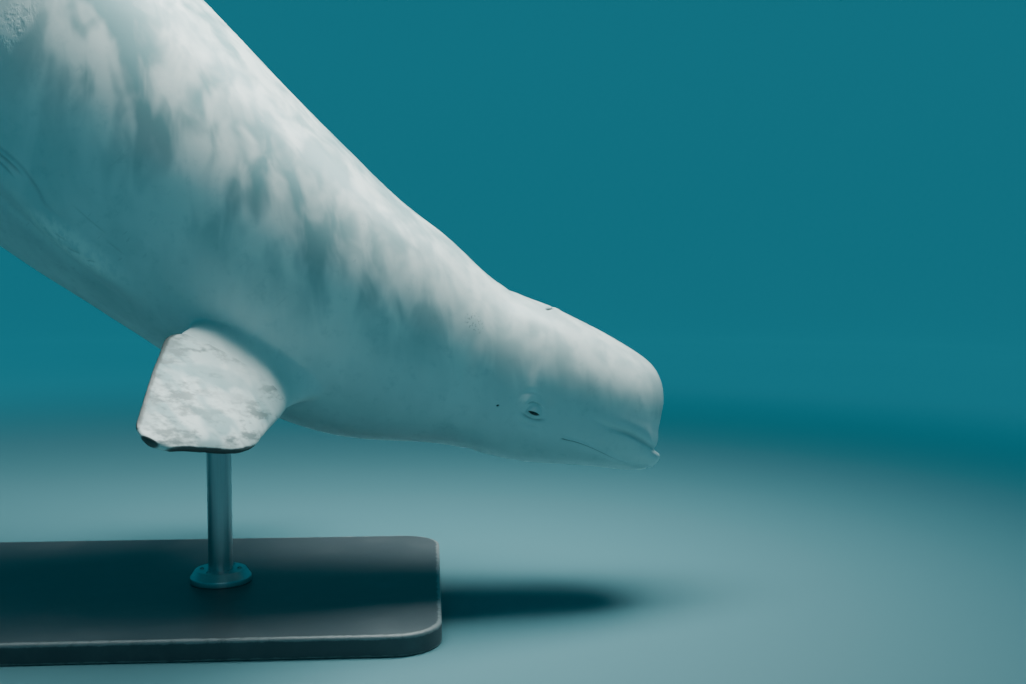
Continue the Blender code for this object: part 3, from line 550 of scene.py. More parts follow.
def fluke_point(share, cosine, sine):
    """Return points of the flukes: share 0 at the end of the tail stock, 1 at the trailing edge."""
    lead, reach = np.moveaxis(FLUKE_EDGE_CURVE(share), -1, 0)
    root_top = RIB_TABLE[-1, 1]
    root_low = RIB_TABLE[-1, 3]
    root_half = 0.5 * (root_top - root_low)
    centre = FLUKE_ROOT + (FLUKE_NOTCH - FLUKE_ROOT) * share
    settle = ease(share / FLUKE_SETTLE)
    power = 2.0 / UPPER_FULLNESS[-1] + (1.0 - 2.0 / UPPER_FULLNESS[-1]) * settle
    side = np.abs(sine) ** power
    bulge = FLUKE_TRAIL_BULGE * share ** 3 * np.sin(math.pi * side ** FLUKE_TRAIL_SKEW)
    behind = centre + (lead - centre) * side ** 2 + bulge
    blade = FLUKE_HALF_THICKNESS * (1.0 - share) ** FLUKE_THINNING + FLUKE_EDGE * share
    blade = root_half + (blade - root_half) * settle
    keel = root_half * (1.0 - share) ** KEEL_THINNING + KEEL_END * share
    keel_width = KEEL_HALF_WIDTH[0] + (KEEL_HALF_WIDTH[1] - KEEL_HALF_WIDTH[0]) * share
    ridge = np.maximum(keel - blade, 0.0) * np.exp(-(reach * side / keel_width) ** 2) * settle
    half = (blade + ridge) * np.abs(cosine) ** power
    middle = 0.5 * (root_top + root_low) * (1.0 - share)
    return np.stack([behind, -reach * np.sign(sine) * side, middle + np.sign(cosine) * half], axis=-1)


def at(place, degrees):
    """Return points of the straight body at distances along it and angles round it in degrees."""
    angle = np.radians(degrees)
    return body_point(np.asarray(place, float), np.cos(angle), np.sin(angle))


def outward(place, degrees):
    """Return the straight body's normals at distances along it and angles round it."""
    place = np.asarray(place, float)
    degrees = np.asarray(degrees, float)
    along = at(place + NORMAL_STEP, degrees) - at(place - NORMAL_STEP, degrees)
    around = at(place, degrees + NORMAL_TURN) - at(place, degrees - NORMAL_TURN)
    normal = np.cross(along, around)
    normal = normal / np.linalg.norm(normal, axis=-1, keepdims=True)
    centre = RIB_CURVE(place)
    core = np.stack([0.5 * (centre[..., 0] + centre[..., 2]) + INSIDE_BEHIND, np.zeros_like(place),
                     0.5 * (centre[..., 1] + centre[..., 3])], axis=-1)
    facing = np.sum(normal * (at(place, degrees) - core), axis=-1, keepdims=True)
    return normal * np.where(facing < 0.0, -1.0, 1.0)


def flipper_frame():
    """Return the right flipper's axis, chord and upper directions."""
    axis = Vector(FLIPPER_AXIS).normalized()
    chord = Vector(FLIPPER_CHORD)
    chord = (chord - axis * chord.dot(axis)).normalized()
    upward = axis.cross(chord)
    if upward.z < 0.0:
        upward = -upward
    return np.array(axis), np.array(chord), np.array(upward)


def flipper_section(share, turns):
    """Return one section of the right flipper, out from the root by a share of its length.

    With it come its points' distances from the dark edges, which are partly painted shade: the
    trailing one and the outer half of the leading one.
    """
    lead, trail, thick = FLIPPER_EDGE_CURVE(share)
    late = max(0.0, (share - FLIPPER_ROUND) / (1.0 - FLIPPER_ROUND))
    shrink = math.sqrt(1.0 - late ** 2)
    middle = 0.5 * (lead + trail)
    across = middle + 0.5 * (lead - trail) * shrink * np.cos(turns)
    lift = thick * shrink ** 0.5 * np.sin(turns) * (1.0 + FLIPPER_FULLER_LEAD * np.cos(turns))
    hind = np.clip((middle - across) / FLIPPER_HIND_WIDTH, 0.0, FLIPPER_HIND_LIMIT)
    lift = lift + FLIPPER_HIND_CURL * hind ** 2 * min(1.0, FLIPPER_HIND_START * share)
    lift = lift + FLIPPER_TIP_CURL * share ** 3
    axis, chord, upward = flipper_frame()
    points = np.outer(across, chord) + np.outer(lift, upward) + axis * FLIPPER_LENGTH * share
    front = LEAD_RIM * (lead - across) + LEAD_RIM_EASE * max(0.0, LEAD_RIM_START - share)
    return points, np.minimum(across - trail, front)


def ring_places(head_step, trunk_step):
    """Return the places of the rings: close on the head, wider on the trunk."""
    places = [0.0]
    while places[-1] < KNOTS[-1] - 0.5 * trunk_step:
        share = float(ease((places[-1] - HEAD_END) / HEAD_EASE))
        places.append(places[-1] + head_step + (trunk_step - head_step) * share)
    places = np.array(places)
    return places * KNOTS[-1] / places[-1]


def patch_border(rows, columns):
    """Return the rows and columns of a patch's border in the grid, in order round it."""
    first, last = rows
    low, high = columns
    border = [(first, j) for j in range(low, high)]
    border += [(i, high) for i in range(first, last)]
    border += [(last, j) for j in range(high, low, -1)]
    border += [(i, low) for i in range(last, first, -1)]
    return border


def hermite(t, start, leaving, end, arriving):
    """Return the place at t, from 0 to 1, of a curve that leaves and arrives along two pulls."""
    bend_in = 3 * t ** 2 - 2 * t ** 3
    return ((1.0 - bend_in) * start + (t ** 3 - 2 * t ** 2 + t) * leaving
            + bend_in * end + (t ** 3 - t ** 2) * arriving)


def grow_flipper(border, rows, columns, places, around):
    """Return the rings of the right flipper from the patch's border to its tip.

    Each has its points, its share of the flipper's length, the points' distances from the dark
    edges, which are partly painted shade, and the body's marks where it grows.
    """
    middle = (0.5 * (rows[0] + rows[1]), 0.5 * (columns[0] + columns[1]))
    half = (0.5 * (rows[1] - rows[0]), 0.5 * (columns[1] - columns[0]))
    turns = np.array([math.atan2((middle[1] - j) / half[1], (middle[0] - i) / half[0])
                      for i, j in border])
    rim = np.array([(places[i], 360.0 * j / around) for i, j in border])
    centre = np.array((np.interp(FOOT_PLACE[0], RIB_TABLE[:, 0], KNOTS), FOOT_PLACE[1]))
    foot = centre - np.stack([FOOT_HALF[0] * np.cos(turns), FOOT_HALF[1] * np.sin(turns)], axis=1)
    far = np.full(len(turns), FAR)
    rings = []
    for k in range(1, PATCH_RINGS + 1):
        mark = rim + (foot - rim) * k / PATCH_RINGS
        rings.append((bend(at(*mark.T)), 0.0, far, body_marks(mark)))
    inner = foot + (centre - foot) * FOOT_INWARD
    edge = rings[-1][0]
    inward = bend(at(*inner.T)) - edge
    inward /= np.linalg.norm(inward, axis=1, keepdims=True)
    axis = flipper_frame()[0]
    root_place = np.interp(FLIPPER_ROOT[0], RIB_TABLE[:, 0], KNOTS)
    root = bend(at(root_place, FLIPPER_ROOT[1])) + FLIPPER_ROOT_OUT * axis
    start = flipper_section(FLIPPER_FILLET, turns)[0] + root
    for k in range(1, FILLET_RINGS + 1):
        t = k / (FILLET_RINGS + 1)
        ring = hermite(t, edge, FILLET_PULL[0] * inward, start, FILLET_PULL[1] * axis)
        rings.append((ring, FLIPPER_FILLET * t, far, body_marks(foot, 1.0 - t)))
    for k in range(FLIPPER_RINGS + 1):
        t = k / FLIPPER_RINGS
        share = FLIPPER_FILLET + (1.0 - FLIPPER_FILLET) * (1.0 - (1.0 - t) ** FLIPPER_CROWDING)
        ring, hind = flipper_section(min(share, FLIPPER_LAST), turns)
        rings.append((ring + root, share, hind, body_marks(foot, 0.0)))
    return rings


def body_marks(spots, fade=1.0):
    """Return the places, cosines and sines of spots, with the cosines fading away from the body."""
    angles = np.radians(spots[:, 1])
    return np.stack([spots[:, 0], np.cos(angles) * fade, np.sin(angles)], axis=1)


class Cage:
    """The skin's points and faces as they are gathered, with the marks that each point carries."""

    def __init__(self):
        self.points = []
        self.marks = []
        self.faces = []

    def add(self, points, marks):
        """Add points, each with its place, cosine, sine, limb share and distances from the rims."""
        first = len(self.points)
        self.points.extend(points)
        self.marks.extend(marks)
        return list(range(first, len(self.points)))

    def bridge(self, before, after, flip):
        """Join two loops of points with faces."""
        for k in range(len(before)):
            n = (k + 1) % len(before)
            face = (before[k], before[n], after[n], after[k])
            self.faces.append(face[::-1] if flip else face)

    def close(self, loop, end, flip):
        """Close a loop of points with faces that meet at one point."""
        for k in range(len(loop)):
            face = (loop[k], loop[(k + 1) % len(loop)], end)
            self.faces.append(face[::-1] if flip else face)


def body_cage(cage, look):
    """Add the body and the flukes to the cage, and return what the flippers need."""
    around = look.around
    angles = round_turns(around)
    cosine = np.cos(angles)
    sine = np.sin(angles)
    places = ring_places(look.head_step, look.trunk_step)
    body = body_point(places[:, None], cosine[None], sine[None])
    shares = np.arange(1, FLUKE_ROWS + 1) / FLUKE_ROWS
    flukes = fluke_point(shares[:, None], cosine[None], sine[None])
    trailing = flukes[-1] * (1.0, 1.0, 0.5) + (0.8 * FLUKE_EDGE, 0.0, 0.0)
    grid = np.concatenate([body, flukes, trailing[None]])
    world = bend(grid)
    numbers = np.zeros((len(grid), around), int)
    numbers[0] = cage.add([world[0, 0]], [(0.0, 1.0, 0.0, 0.0, FAR, FAR)])[0]
    for i in range(1, len(grid)):
        if i < len(places):
            marks = [(places[i], *way, 0.0, FAR, FAR) for way in zip(cosine, sine)]
        else:
            share = min(1.0, (i - len(places) + 1) / FLUKE_ROWS)
            to_rear = (1.0 - share) * (world[len(places), :, 0] - world[-2, :, 0])
            fade = 1.0 - ease(share / FLUKE_MARK_FADE)
            marks = [(KNOTS[-1] + share, cosine[j] * fade, sine[j], -share, to_rear[j], to_rear[j])
                     for j in range(around)]
        numbers[i] = cage.add(world[i], marks)
    rows = tuple(int(np.argmin(np.abs(body[:, 0, 0] - bound))) for bound in PATCH_SPAN)
    columns = tuple(round(angle / 360.0 * around) for angle in PATCH_ANGLES)
    body_faces(cage, numbers, rows, columns)
    return numbers, places, rows, columns


def body_faces(cage, numbers, rows, columns):
    """Add the faces between the body's rings, apart from the two patches where the flippers grow."""
    around = numbers.shape[1]
    mirror = (around - columns[1], around - columns[0])
    cage.close(numbers[1], numbers[0, 0], True)
    for i in range(1, len(numbers) - 1):
        for j in range(around):
            in_patch = columns[0] <= j < columns[1] or mirror[0] <= j < mirror[1]
            if rows[0] <= i < rows[1] and in_patch:
                continue
            n = (j + 1) % around
            cage.faces.append((numbers[i, j], numbers[i, n], numbers[i + 1, n], numbers[i + 1, j]))
    # The last ring's upper and lower points lie over each other and close the trailing edge
    half = around // 2
    for j in range(around // 4):
        for side in (1, -1):
            corners = (side * j, side * (j + 1), half - side * (j + 1), half - side * j)
            unique = list(dict.fromkeys(corner % around for corner in corners))
            cage.faces.append([numbers[-1, corner] for corner in unique])


def flipper_cage(cage, numbers, places, rows, columns):
    """Add both flippers to the cage."""
    around = numbers.shape[1]
    border = patch_border(rows, columns)
    rings = grow_flipper(border, rows, columns, places, around)
    for way, flip in ((1.0, False), (-1.0, True)):
        before = [numbers[i, (j if way > 0.0 else (around - j) % around)] for i, j in border]
        for ring, share, hind, roots in rings:
            to_tip = TIP_RIM * (1.0 - share) * FLIPPER_LENGTH if share > 0.0 else FAR
            marks = [(place, cosine, way * sine, max(share, FLIPPER_FIRST), gap, to_tip)
                     for (place, cosine, sine), gap in zip(roots, hind)]
            after = cage.add(ring * (1.0, way, 1.0), marks)
            cage.bridge(before, after, flip)
            before = after
        middle = np.mean([cage.points[k] for k in before], axis=0)
        end = cage.add([middle], [(places[rows[0]], 0.0, way, 1.0, FAR, 0.0)])[0]
        cage.close(before, end, flip)


@contextmanager
def editing(data):
    """Open a mesh for editing and write it back at the end."""
    mesh = bmesh.new()
    mesh.from_mesh(data)
    yield mesh
    mesh.to_mesh(data)
    mesh.free()


def fetch(items, name, width=1, kind=np.float32):
    """Return one value, or a row of them, of each of a mesh's items."""
    found = np.zeros(len(items) * width, kind)
    items.foreach_get(name, found)
    return found if width == 1 else found.reshape(-1, width)


def read(data, name):
    """Return a mesh attribute as an array."""
    return fetch(data.attributes[name].data, "value").astype(float)


def write(data, name, values):
    """Store an array as a mesh attribute."""
    layer = data.attributes.get(name) or data.attributes.new(name, "FLOAT", "POINT")
    layer.data.foreach_set("value", np.asarray(values, np.float32))


def positions(data):
    """Return the places of a mesh's vertices."""
    return fetch(data.vertices, "co", 3).astype(float)


def set_positions(data, places):
    """Move a mesh's vertices to places."""
    data.vertices.foreach_set("co", places.astype(np.float32).ravel())
    data.update()


def straight_places(data):
    """Return the places on the straight body that the vertices' marks give."""
    return body_point(read(data, "place"), read(data, "cosine"), read(data, "sine"))


class SkinLine:
    """A smooth line on the straight skin, which measures how far points lie from it."""

    def __init__(self, marks):
        curve = smooth_curve(np.arange(len(marks)), np.array(marks))
        fine = curve(np.linspace(0.0, len(marks) - 1.0, LINE_POINTS))
        self.points = at(*fine.T)
        along = np.gradient(self.points, axis=0)
        across = np.cross(outward(*fine.T), along)
        across /= np.linalg.norm(across, axis=1, keepdims=True)
        to_back = self.points - at(fine[:, 0], fine[:, 1] + 1.0)
        if np.sum(across * to_back) < 0.0:
            across = -across
        self.across = across

    def measure(self, where, reach):
        """Return the points within reach, with their distances and shares of the line's length.

        A distance is above zero on the side of the back.
        """
        low = self.points.min(axis=0) - reach
        high = self.points.max(axis=0) + reach
        chosen = np.flatnonzero(np.all((where > low) & (where < high), axis=1))
        starts = self.points[:-1]
        steps = self.points[1:] - starts
        gaps = where[chosen][:, None] - starts[None]
        along = np.clip(np.sum(gaps * steps, axis=-1) / np.sum(steps ** 2, axis=-1), 0.0, 1.0)
        rest = gaps - along[..., None] * steps
        far = np.sum(rest ** 2, axis=-1)
        best = far.argmin(axis=1)
        rows = np.arange(len(chosen))
        side = np.where(np.sum(rest[rows, best] * self.across[best], axis=-1) < 0.0, -1.0, 1.0)
        return chosen, side * np.sqrt(far[rows, best]), (best + along[rows, best]) / len(steps)


class Lids:
    """The right eye's seat on the straight head: its centre and its directions."""

    def __init__(self):
        places = np.linspace(*LID_SEARCH_PLACES)[:, None]
        angles = np.linspace(*LID_SEARCH_ANGLES)[None]
        cloud = at(*np.broadcast_arrays(places, angles)).reshape(-1, 3)
        gap = np.hypot(cloud[:, 0] - EYE_BEHIND, cloud[:, 2] - EYE_LEVEL)
        nearest = int(np.argmin(gap))
        surface = cloud[nearest]
        self.centre = surface + np.array((0.0, EYE_DEPTH, 0.0))
        place = float(places[nearest // angles.size, 0])
        self.out = outward(place, float(angles[0, nearest % angles.size]))
        tilt = math.radians(LID_TILT)
        front = np.array((-math.cos(tilt), 0.0, -math.sin(tilt)))
        front = front - self.out * front.dot(self.out)
        self.front = front / np.linalg.norm(front)
        up = np.cross(self.out, self.front)
        self.up = up if up[2] > 0.0 else -up

    def split(self, points):
        """Return how far points lie before, above and outside the eye's centre."""
        gap = points - self.centre
        return gap @ self.front, gap @ self.up, gap @ self.out

    def opening(self, front, up):
        """Return how far inside the slit a point is."""
        arch = 1.0 - (front / SLIT_HALF_WIDTH) ** 2
        upper = SLIT_OVER * arch - up
        lower = up + SLIT_UNDER * arch
        return np.minimum(upper, lower)

    def relief(self, where):
        """Return the lids' height over the smooth skin, and the painted shade inside the slit, which grows
        with how deep in the slit each point is.
        """
        front, up, out = self.split(where)
        ball = EYE_RADIUS + LID_THICKNESS
        radial = front ** 2 + up ** 2
        near = (radial < LID_REACH ** 2) & (out > LID_INSIDE)
        skirt = LID_SKIRT * np.maximum(np.sqrt(radial) - ball, 0.0)
        dome = np.sqrt(np.maximum(ball ** 2 - radial, 0.0)) - skirt
        overlap = np.maximum(LID_BLEND - np.abs(out - dome), 0.0) / LID_BLEND
        lid = np.maximum(out, dome) + overlap ** 2 * LID_BLEND / 4.0
        inside = self.opening(front, up)
        height, inset, width = LID_RIM
        rim = height * np.exp(-((inside + inset) / width) ** 2)
        rim = rim * ease(LID_RIM_END - 2.0 * np.abs(front) / SLIT_HALF_WIDTH)
        pocket = np.sqrt(np.maximum(SLIT_FLOOR ** 2 - radial, 0.0))
        sunk = ease(inside / SLIT_EDGE + 0.5) * (np.abs(front) < SLIT_HALF_WIDTH)
        rise = (lid + rim) * (1.0 - sunk) + pocket * sunk - out
        shade = ease(inside / SLIT_SHADE + SLIT_SHADE_START)
        return np.where(near, rise, 0.0), np.where(near, shade, 0.0)


def wanted_size(where, lines, lids):
    """Return the size of face that each point of the straight skin asks for."""
    size = np.full(len(where), COARSEST_FACE)
    for crease, line in lines:
        chosen, away, _ = line.measure(where, FOLD_FACE_REACH)
        calm = np.maximum(np.abs(away) - FOLD_FACE_CALM * crease.width, 0.0)
        size[chosen] = np.minimum(size[chosen], crease.fine + FACE_GROWTH * calm)
    front, up, out = lids.split(where)
    round_eye = np.sqrt(front ** 2 + up ** 2 + (out - EYE_DEPTH) ** 2)
    size = np.minimum(size, EYE_FACE + FACE_GROWTH * np.maximum(round_eye - EYE_FACE_REACH, 0.0))
    inside = lids.opening(front, up)
    at_rim = (np.abs(inside) < RIM_FACE_BAND) & (round_eye < SLIT_HALF_WIDTH + RIM_FACE_MARGIN)
    return np.where(at_rim, RIM_FACE, size)


def mirrored(points):
    """Return points with those of the left side carried to the right."""
    return points * (1.0, 0.0, 1.0) - np.abs(points) * (0.0, 1.0, 0.0)


def refine(data, lines, lids):
    """Halve the body's faces that are larger than what their place asks for."""
    for _ in range(FINEST_PASSES):
        pairs = fetch(data.edges, "vertices", 2, np.int32)
        world = positions(data)
        lengths = np.linalg.norm(world[pairs[:, 0]] - world[pairs[:, 1]], axis=1)
        on_body = (read(data, "limb") == 0.0) & (read(data, "place") > SNOUT_CAP)
        straight = straight_places(data)
        middle = mirrored(0.5 * (straight[pairs[:, 0]] + straight[pairs[:, 1]]))
        usable = on_body[pairs].all(axis=1)
        long_edge = np.zeros(len(pairs), bool)
        size = wanted_size(middle[usable], lines, lids)
        long_edge[usable] = lengths[usable] > LONGEST_EDGE * size
        starts = fetch(data.polygons, "loop_start", 1, np.int32)
        owners = fetch(data.loops, "edge_index", 1, np.int32)
        cut_face = np.logical_or.reduceat(long_edge[owners], starts)
        whole = np.logical_and.reduceat(usable[owners], starts)
        totals = np.diff(np.append(starts, len(owners)))
        cut = np.zeros(len(pairs), bool)
        cut[owners[np.repeat(cut_face & whole, totals)]] = True
        with editing(data) as mesh:
            mesh.edges.ensure_lookup_table()
            edges = [mesh.edges[k] for k in np.flatnonzero(cut)]
            bmesh.ops.subdivide_edges(mesh, edges=edges, cuts=1, use_grid_fill=True, use_single_edge=True)
            cosine, sine, limb = (mesh.verts.layers.float[name] for name in ("cosine", "sine", "limb"))
            for vert in mesh.verts:
                if vert[limb] == 0.0:
                    length = math.hypot(vert[cosine], vert[sine])
                    vert[cosine] /= length
                    vert[sine] /= length
        place_on_body(data)


def place_on_body(data):
    """Set the body's vertices on its smooth surface, and return their straight places."""
    straight = straight_places(data)
    world = positions(data)
    on_body = read(data, "limb") == 0.0
    world[on_body] = bend(straight[on_body])
    straight[~on_body] = OFF_BODY
    set_positions(data, world)
    return straight


def uneven(points, scale):
    """Return smooth noise at points, from -1 to 1."""
    return np.fromiter((mathutils.noise.noise(point) for point in points * scale), float, len(points))


def flipper_relief(data):
    """Return the small folds of the flippers and the bead along their edges, and the painted shade in the
    folds.
    """
    limb = read(data, "limb")
    hind = read(data, "hind")
    tip = read(data, "tip")
    on_limb = limb > 0.0
    rise = np.zeros(len(limb))
    dark = np.zeros(len(limb))
    for share, depth, slant in FLIPPER_FOLDS:
        away = limb - share - slant * hind + FLIPPER_FOLD_SWAY * np.sin(FLIPPER_FOLD_WAVES * hind)
        fold = np.exp(-(away / FLIPPER_FOLD_WIDTH) ** 2)
        fold = fold * ease(FLIPPER_FOLD_END - hind / FLIPPER_FOLD_REACH)
        rise -= depth * fold
        dark += FLIPPER_FOLD_SHADE * fold
    height, inset, width = FLIPPER_BEAD
    rise += height * np.exp(-((np.minimum(hind, tip) - inset) / width) ** 2)
    return np.where(on_limb, rise, 0.0), np.where(on_limb, dark, 0.0)


def shape_skin(data, lines, lids, look):
    """Give the skin its folds, lids and swellings, and mark the painted shade in its folds, slit and holes.
    """
    straight = place_on_body(data)
    where = mirrored(straight)
    normals = fetch(data.vertex_normals, "vector", 3).astype(float)
    rise, dark = flipper_relief(data)
    for crease, line in lines:
        chosen, away, share = line.measure(where, CREASE_REACH * max(crease.reach, crease.width))
        fade = np.ones(len(chosen))
        for gone, length in zip((share, 1.0 - share), crease.fade):
            if length > 0.0:
                fade = fade * ease(gone / length)
        cut = np.exp(-(np.abs(away) / crease.width) ** crease.sharp)
        lip = np.exp(-((np.abs(away) - crease.reach) / (LIP_WIDTH * crease.reach)) ** 2)
        height = np.where(away > 0.0, crease.above, crease.below)
        rise[chosen] += fade * (height * lip - crease.depth * cut)
        shade = crease.dark * fade * np.exp(-(away / (SHADE_WIDTH * crease.width)) ** 2)
        dark[chosen] = np.maximum(dark[chosen], shade)
    for _, place, angle, height, radius in SWELLINGS:
        gap = np.linalg.norm(where - at(place, angle), axis=1)
        rise += height * np.exp(-(gap / radius) ** 2)
    on_body = straight[:, 0] < OFF_BODY
    lid, slit = lids.relief(where)
    rise = rise + lid
    dark = np.maximum(dark, slit)
    world = positions(data)
    soft = sum(height * uneven(world, scale) for height, scale in WAVES)
    calm = np.where(on_body, 1.0, LIMB_WAVES) * (1.0 - np.clip(slit, 0.0, 1.0))
    rise = rise + look.unevenness * soft * calm
    # The crease mark holds painted shade: in the folds, holes, the eye's slit and the flippers' folds
    write(data, "crease", dark)
    set_positions(data, world + normals * rise[:, None])


def build_skin(look):
    """Return the whole skin as one closed object."""
    cage = Cage()
    numbers, places, rows, columns = body_cage(cage, look)
    flipper_cage(cage, numbers, places, rows, columns)
    data = bpy.data.meshes.new("whale_skin")
    data.from_pydata([tuple(point) for point in cage.points], [], cage.faces)
    marks = np.array(cage.marks)
    for k, name in enumerate(MARKS):
        write(data, name, marks[:, k])
    with editing(data) as mesh:
        loose = [vert for vert in mesh.verts if not vert.link_faces]
        bmesh.ops.delete(mesh, geom=loose, context="VERTS")
        bmesh.ops.recalc_face_normals(mesh, faces=mesh.faces)
    lines = [(crease, SkinLine(crease.marks)) for crease in CREASES]
    lids = Lids()
    refine(data, lines, lids)
    shape_skin(data, lines, lids, look)
    data.shade_smooth()
    return show("whale_skin", data)


def round_turns(count):
    """Return the angles of points that are spread evenly round a circle."""
    return np.linspace(0.0, 2.0 * math.pi, count, endpoint=False)


def round_rings(outline, turns, x=0.0, y=0.0):
    """Return level rings round a point, one for each radius and height of an outline."""
    return [np.stack([x + radius * np.cos(turns), y + radius * np.sin(turns),
                      np.full(len(turns), height)], axis=1)
            for radius, height in outline]


def show(name, data):
    """Link a mesh to the scene as an object at the origin."""
    item = bpy.data.objects.new(name, data)
    bpy.context.scene.collection.objects.link(item)
    return item


def loft(name, rings, wrap=False, caps=True):
    """Make a mesh from rings of points. Wrap joins the last ring to the first."""
    mesh = bmesh.new()
    loops = [[mesh.verts.new(point) for point in ring] for ring in rings]
    pairs = list(zip(loops[:-1], loops[1:]))
    if wrap:
        pairs.append((loops[-1], loops[0]))
    for before, after in pairs:
        for k in range(len(before)):
            n = (k + 1) % len(before)
            mesh.faces.new((before[k], before[n], after[n], after[k]))
    if caps and not wrap:
        for loop in (loops[0], loops[-1]):
            middle = mesh.verts.new(sum((vert.co for vert in loop), Vector()) / len(loop))
            for k in range(len(loop)):
                mesh.faces.new((loop[k], loop[(k + 1) % len(loop)], middle))
    bmesh.ops.recalc_face_normals(mesh, faces=mesh.faces)
    data = bpy.data.meshes.new(name)
    mesh.to_mesh(data)
    mesh.free()
    data.shade_smooth()
    return show(name, data)


class Wire:
    """One output of a shader node. Arithmetic on it adds Math nodes."""

    def __init__(self, graph, socket):
        self.graph = graph
        self.socket = socket

    def math(self, operation, *values):
        """Add a Math node on some values."""
        return self.graph.node("ShaderNodeMath", {"operation": operation}, values)

    def __add__(self, other):
        return self.math("ADD", self, other)

    def __sub__(self, other):
        return self.math("SUBTRACT", self, other)

    def __rsub__(self, other):
        return self.math("SUBTRACT", other, self)

    def __mul__(self, other):
        return self.math("MULTIPLY", self, other)

    def __pow__(self, other):
        return self.math("POWER", self, other)

    __radd__ = __add__


class Finish:
    """A material whose nodes are written as Python expressions."""

    def __init__(self, name, **constants):
        self.material = bpy.data.materials.new(name)
        self.material.use_nodes = True
        self.tree = self.material.node_tree
        self.shader = self.tree.nodes["Principled BSDF"]
        for socket, value in constants.items():
            self.shader.inputs[socket.replace("_", " ")].default_value = value
        self.place = self.node("ShaderNodeTexCoord", output="Object")

    def node(self, kind, settings=None, values=(), output=0):
        """Add a node with its settings, its sockets' values or wires, and return one output."""
        made = self.tree.nodes.new(kind)
        for key, value in (settings or {}).items():
            setattr(made, key, value)
        pairs = values.items() if isinstance(values, dict) else enumerate(values)
        for key, value in pairs:
            if isinstance(value, Wire):
                self.tree.links.new(value.socket, made.inputs[key])
            else:
                made.inputs[key].default_value = value
        return Wire(self, made.outputs[output])

    def noise(self, place, scale, detail=3.0, rough=0.5, twist=0.0):
        """Return noise from 0 to 1."""
        return self.node("ShaderNodeTexNoise", None, {
            "Vector": place, "Scale": scale, "Detail": detail, "Roughness": rough, "Distortion": twist})

    def turned(self, scale, turn=(0.0, 0.0, 0.0)):
        """Return the object's coordinates turned and then stretched."""
        first = self.node("ShaderNodeMapping", None, {
            "Vector": self.place, "Rotation": [math.radians(angle) for angle in turn]})
        return self.node("ShaderNodeMapping", None, {"Vector": first, "Scale": scale})

    def between(self, value, low, high):
        """Return 0 where a value is under low, 1 over high and a smooth rise between."""
        return self.node("ShaderNodeMapRange", {"interpolation_type": "SMOOTHSTEP"}, {
            "Value": value, "From Min": low, "From Max": high})

    def blend(self, mask, first, second):
        """Return a colour that goes from the first to the second with the mask."""
        first, second = (value if isinstance(value, Wire) else (*value, 1.0) for value in (first, second))
        return self.node("ShaderNodeMix", {"data_type": "RGBA"}, {0: mask, 6: first, 7: second}, output=2)

    def mark(self, name):
        """Return a mark that the mesh carries."""
        return self.node("ShaderNodeAttribute", {"attribute_name": name}, output="Fac")

    def near(self, place, angle, reach, spread):
        """Return 1 at a spot of the right side, given by place and angle, and 0 away from it."""
        along = (self.mark("place") - place) * (1.0 / reach)
        over = (self.mark("cosine") - math.cos(math.radians(angle))) * (1.0 / spread)
        right = self.between(self.mark("sine"), 0.0, 0.2)
        return right * (1.0 - self.between(along * along + over * over, 0.15, 1.0))

    def bump(self, height, distance, strength):
        """Return a normal bumped by a height."""
        return self.node("ShaderNodeBump", None, {
            "Height": height, "Distance": distance, "Strength": strength})

    def finish(self, **sockets):
        """Link wires to the shader's sockets."""
        for name, wire in sockets.items():
            self.tree.links.new(wire.socket, self.shader.inputs[name.replace("_", " ")])
        return self.material


def mottle_with_painted_light_and_shade(made, look, trunk):
    """Return the skin's colour and the clouds: pale, with painted shade in a darker cool colour over the
    lower sides, and soft clouds that are partly mottling and partly painted dappled light.
    """
    cosine = made.mark("cosine")
    upright = made.turned((1.0, 1.0, 0.42))
    clouds = made.noise(upright, 9.0, 2.0, 0.5, 0.6)
    patches = clouds * 0.62 + made.noise(upright, 21.0, 2.0, 0.5, 0.5) * 0.38
    # The clouds, partly painted dappled light, are stretched upright like streaks of light and kept mostly
    # to the upper sides, where the light falls
    back = made.between(cosine, -0.20, 0.42) * 0.82 + 0.18
    # Painted shade: the lower sides blend towards the darker, cool under colour
    under = 1.0 - made.between(cosine, -0.35, 0.22)
    on_body = made.between(made.mark("limb"), 0.2, -0.2)
    colour = made.blend(under * on_body * 0.9, look.pale, look.under)
    return made.blend(made.between(patches, 0.36, 0.59) * back * trunk, colour, look.cloud), clouds


def wear_and_painted_light(made, look, colour, trunk):
    """Return the colour with healed scratches, a rubbed streak, a patch of painted light on the flank's roll
    and scuffs, and where it is rubbed.
    """
    streaks = made.noise(made.turned((2.6, 95.0, 95.0), ALONG_TRUNK), 1.0, 1.0, 0.5)
    sparse = made.between(made.noise(made.place, 4.0, 1.0), 0.52, 0.64) * trunk
    colour = made.blend(made.between(streaks, 0.69, 0.74) * sparse * 0.35, colour, look.scratch)
    frayed = made.noise(made.turned((1.0, 1.0, 0.6)), 58.0, 4.0, 0.68)
    rubbed = made.near(*RUBBED_STREAK) * made.between(frayed, 0.42, 0.60)
    colour = made.blend(rubbed * 0.75, colour, look.pale)
    # Painted light: a pale patch on the flank's roll, where light falls on the bulge
    colour = made.blend(made.near(*PAINTED_LIGHT_ROLL) * made.between(frayed, 0.30, 0.62), colour, look.pale)
    specks = made.between(made.noise(made.place, 150.0, 2.0, 0.6), 0.53, 0.66)
    return made.blend(made.near(*NECK_SCUFFS) * specks * 0.65, colour, look.smudge), rubbed


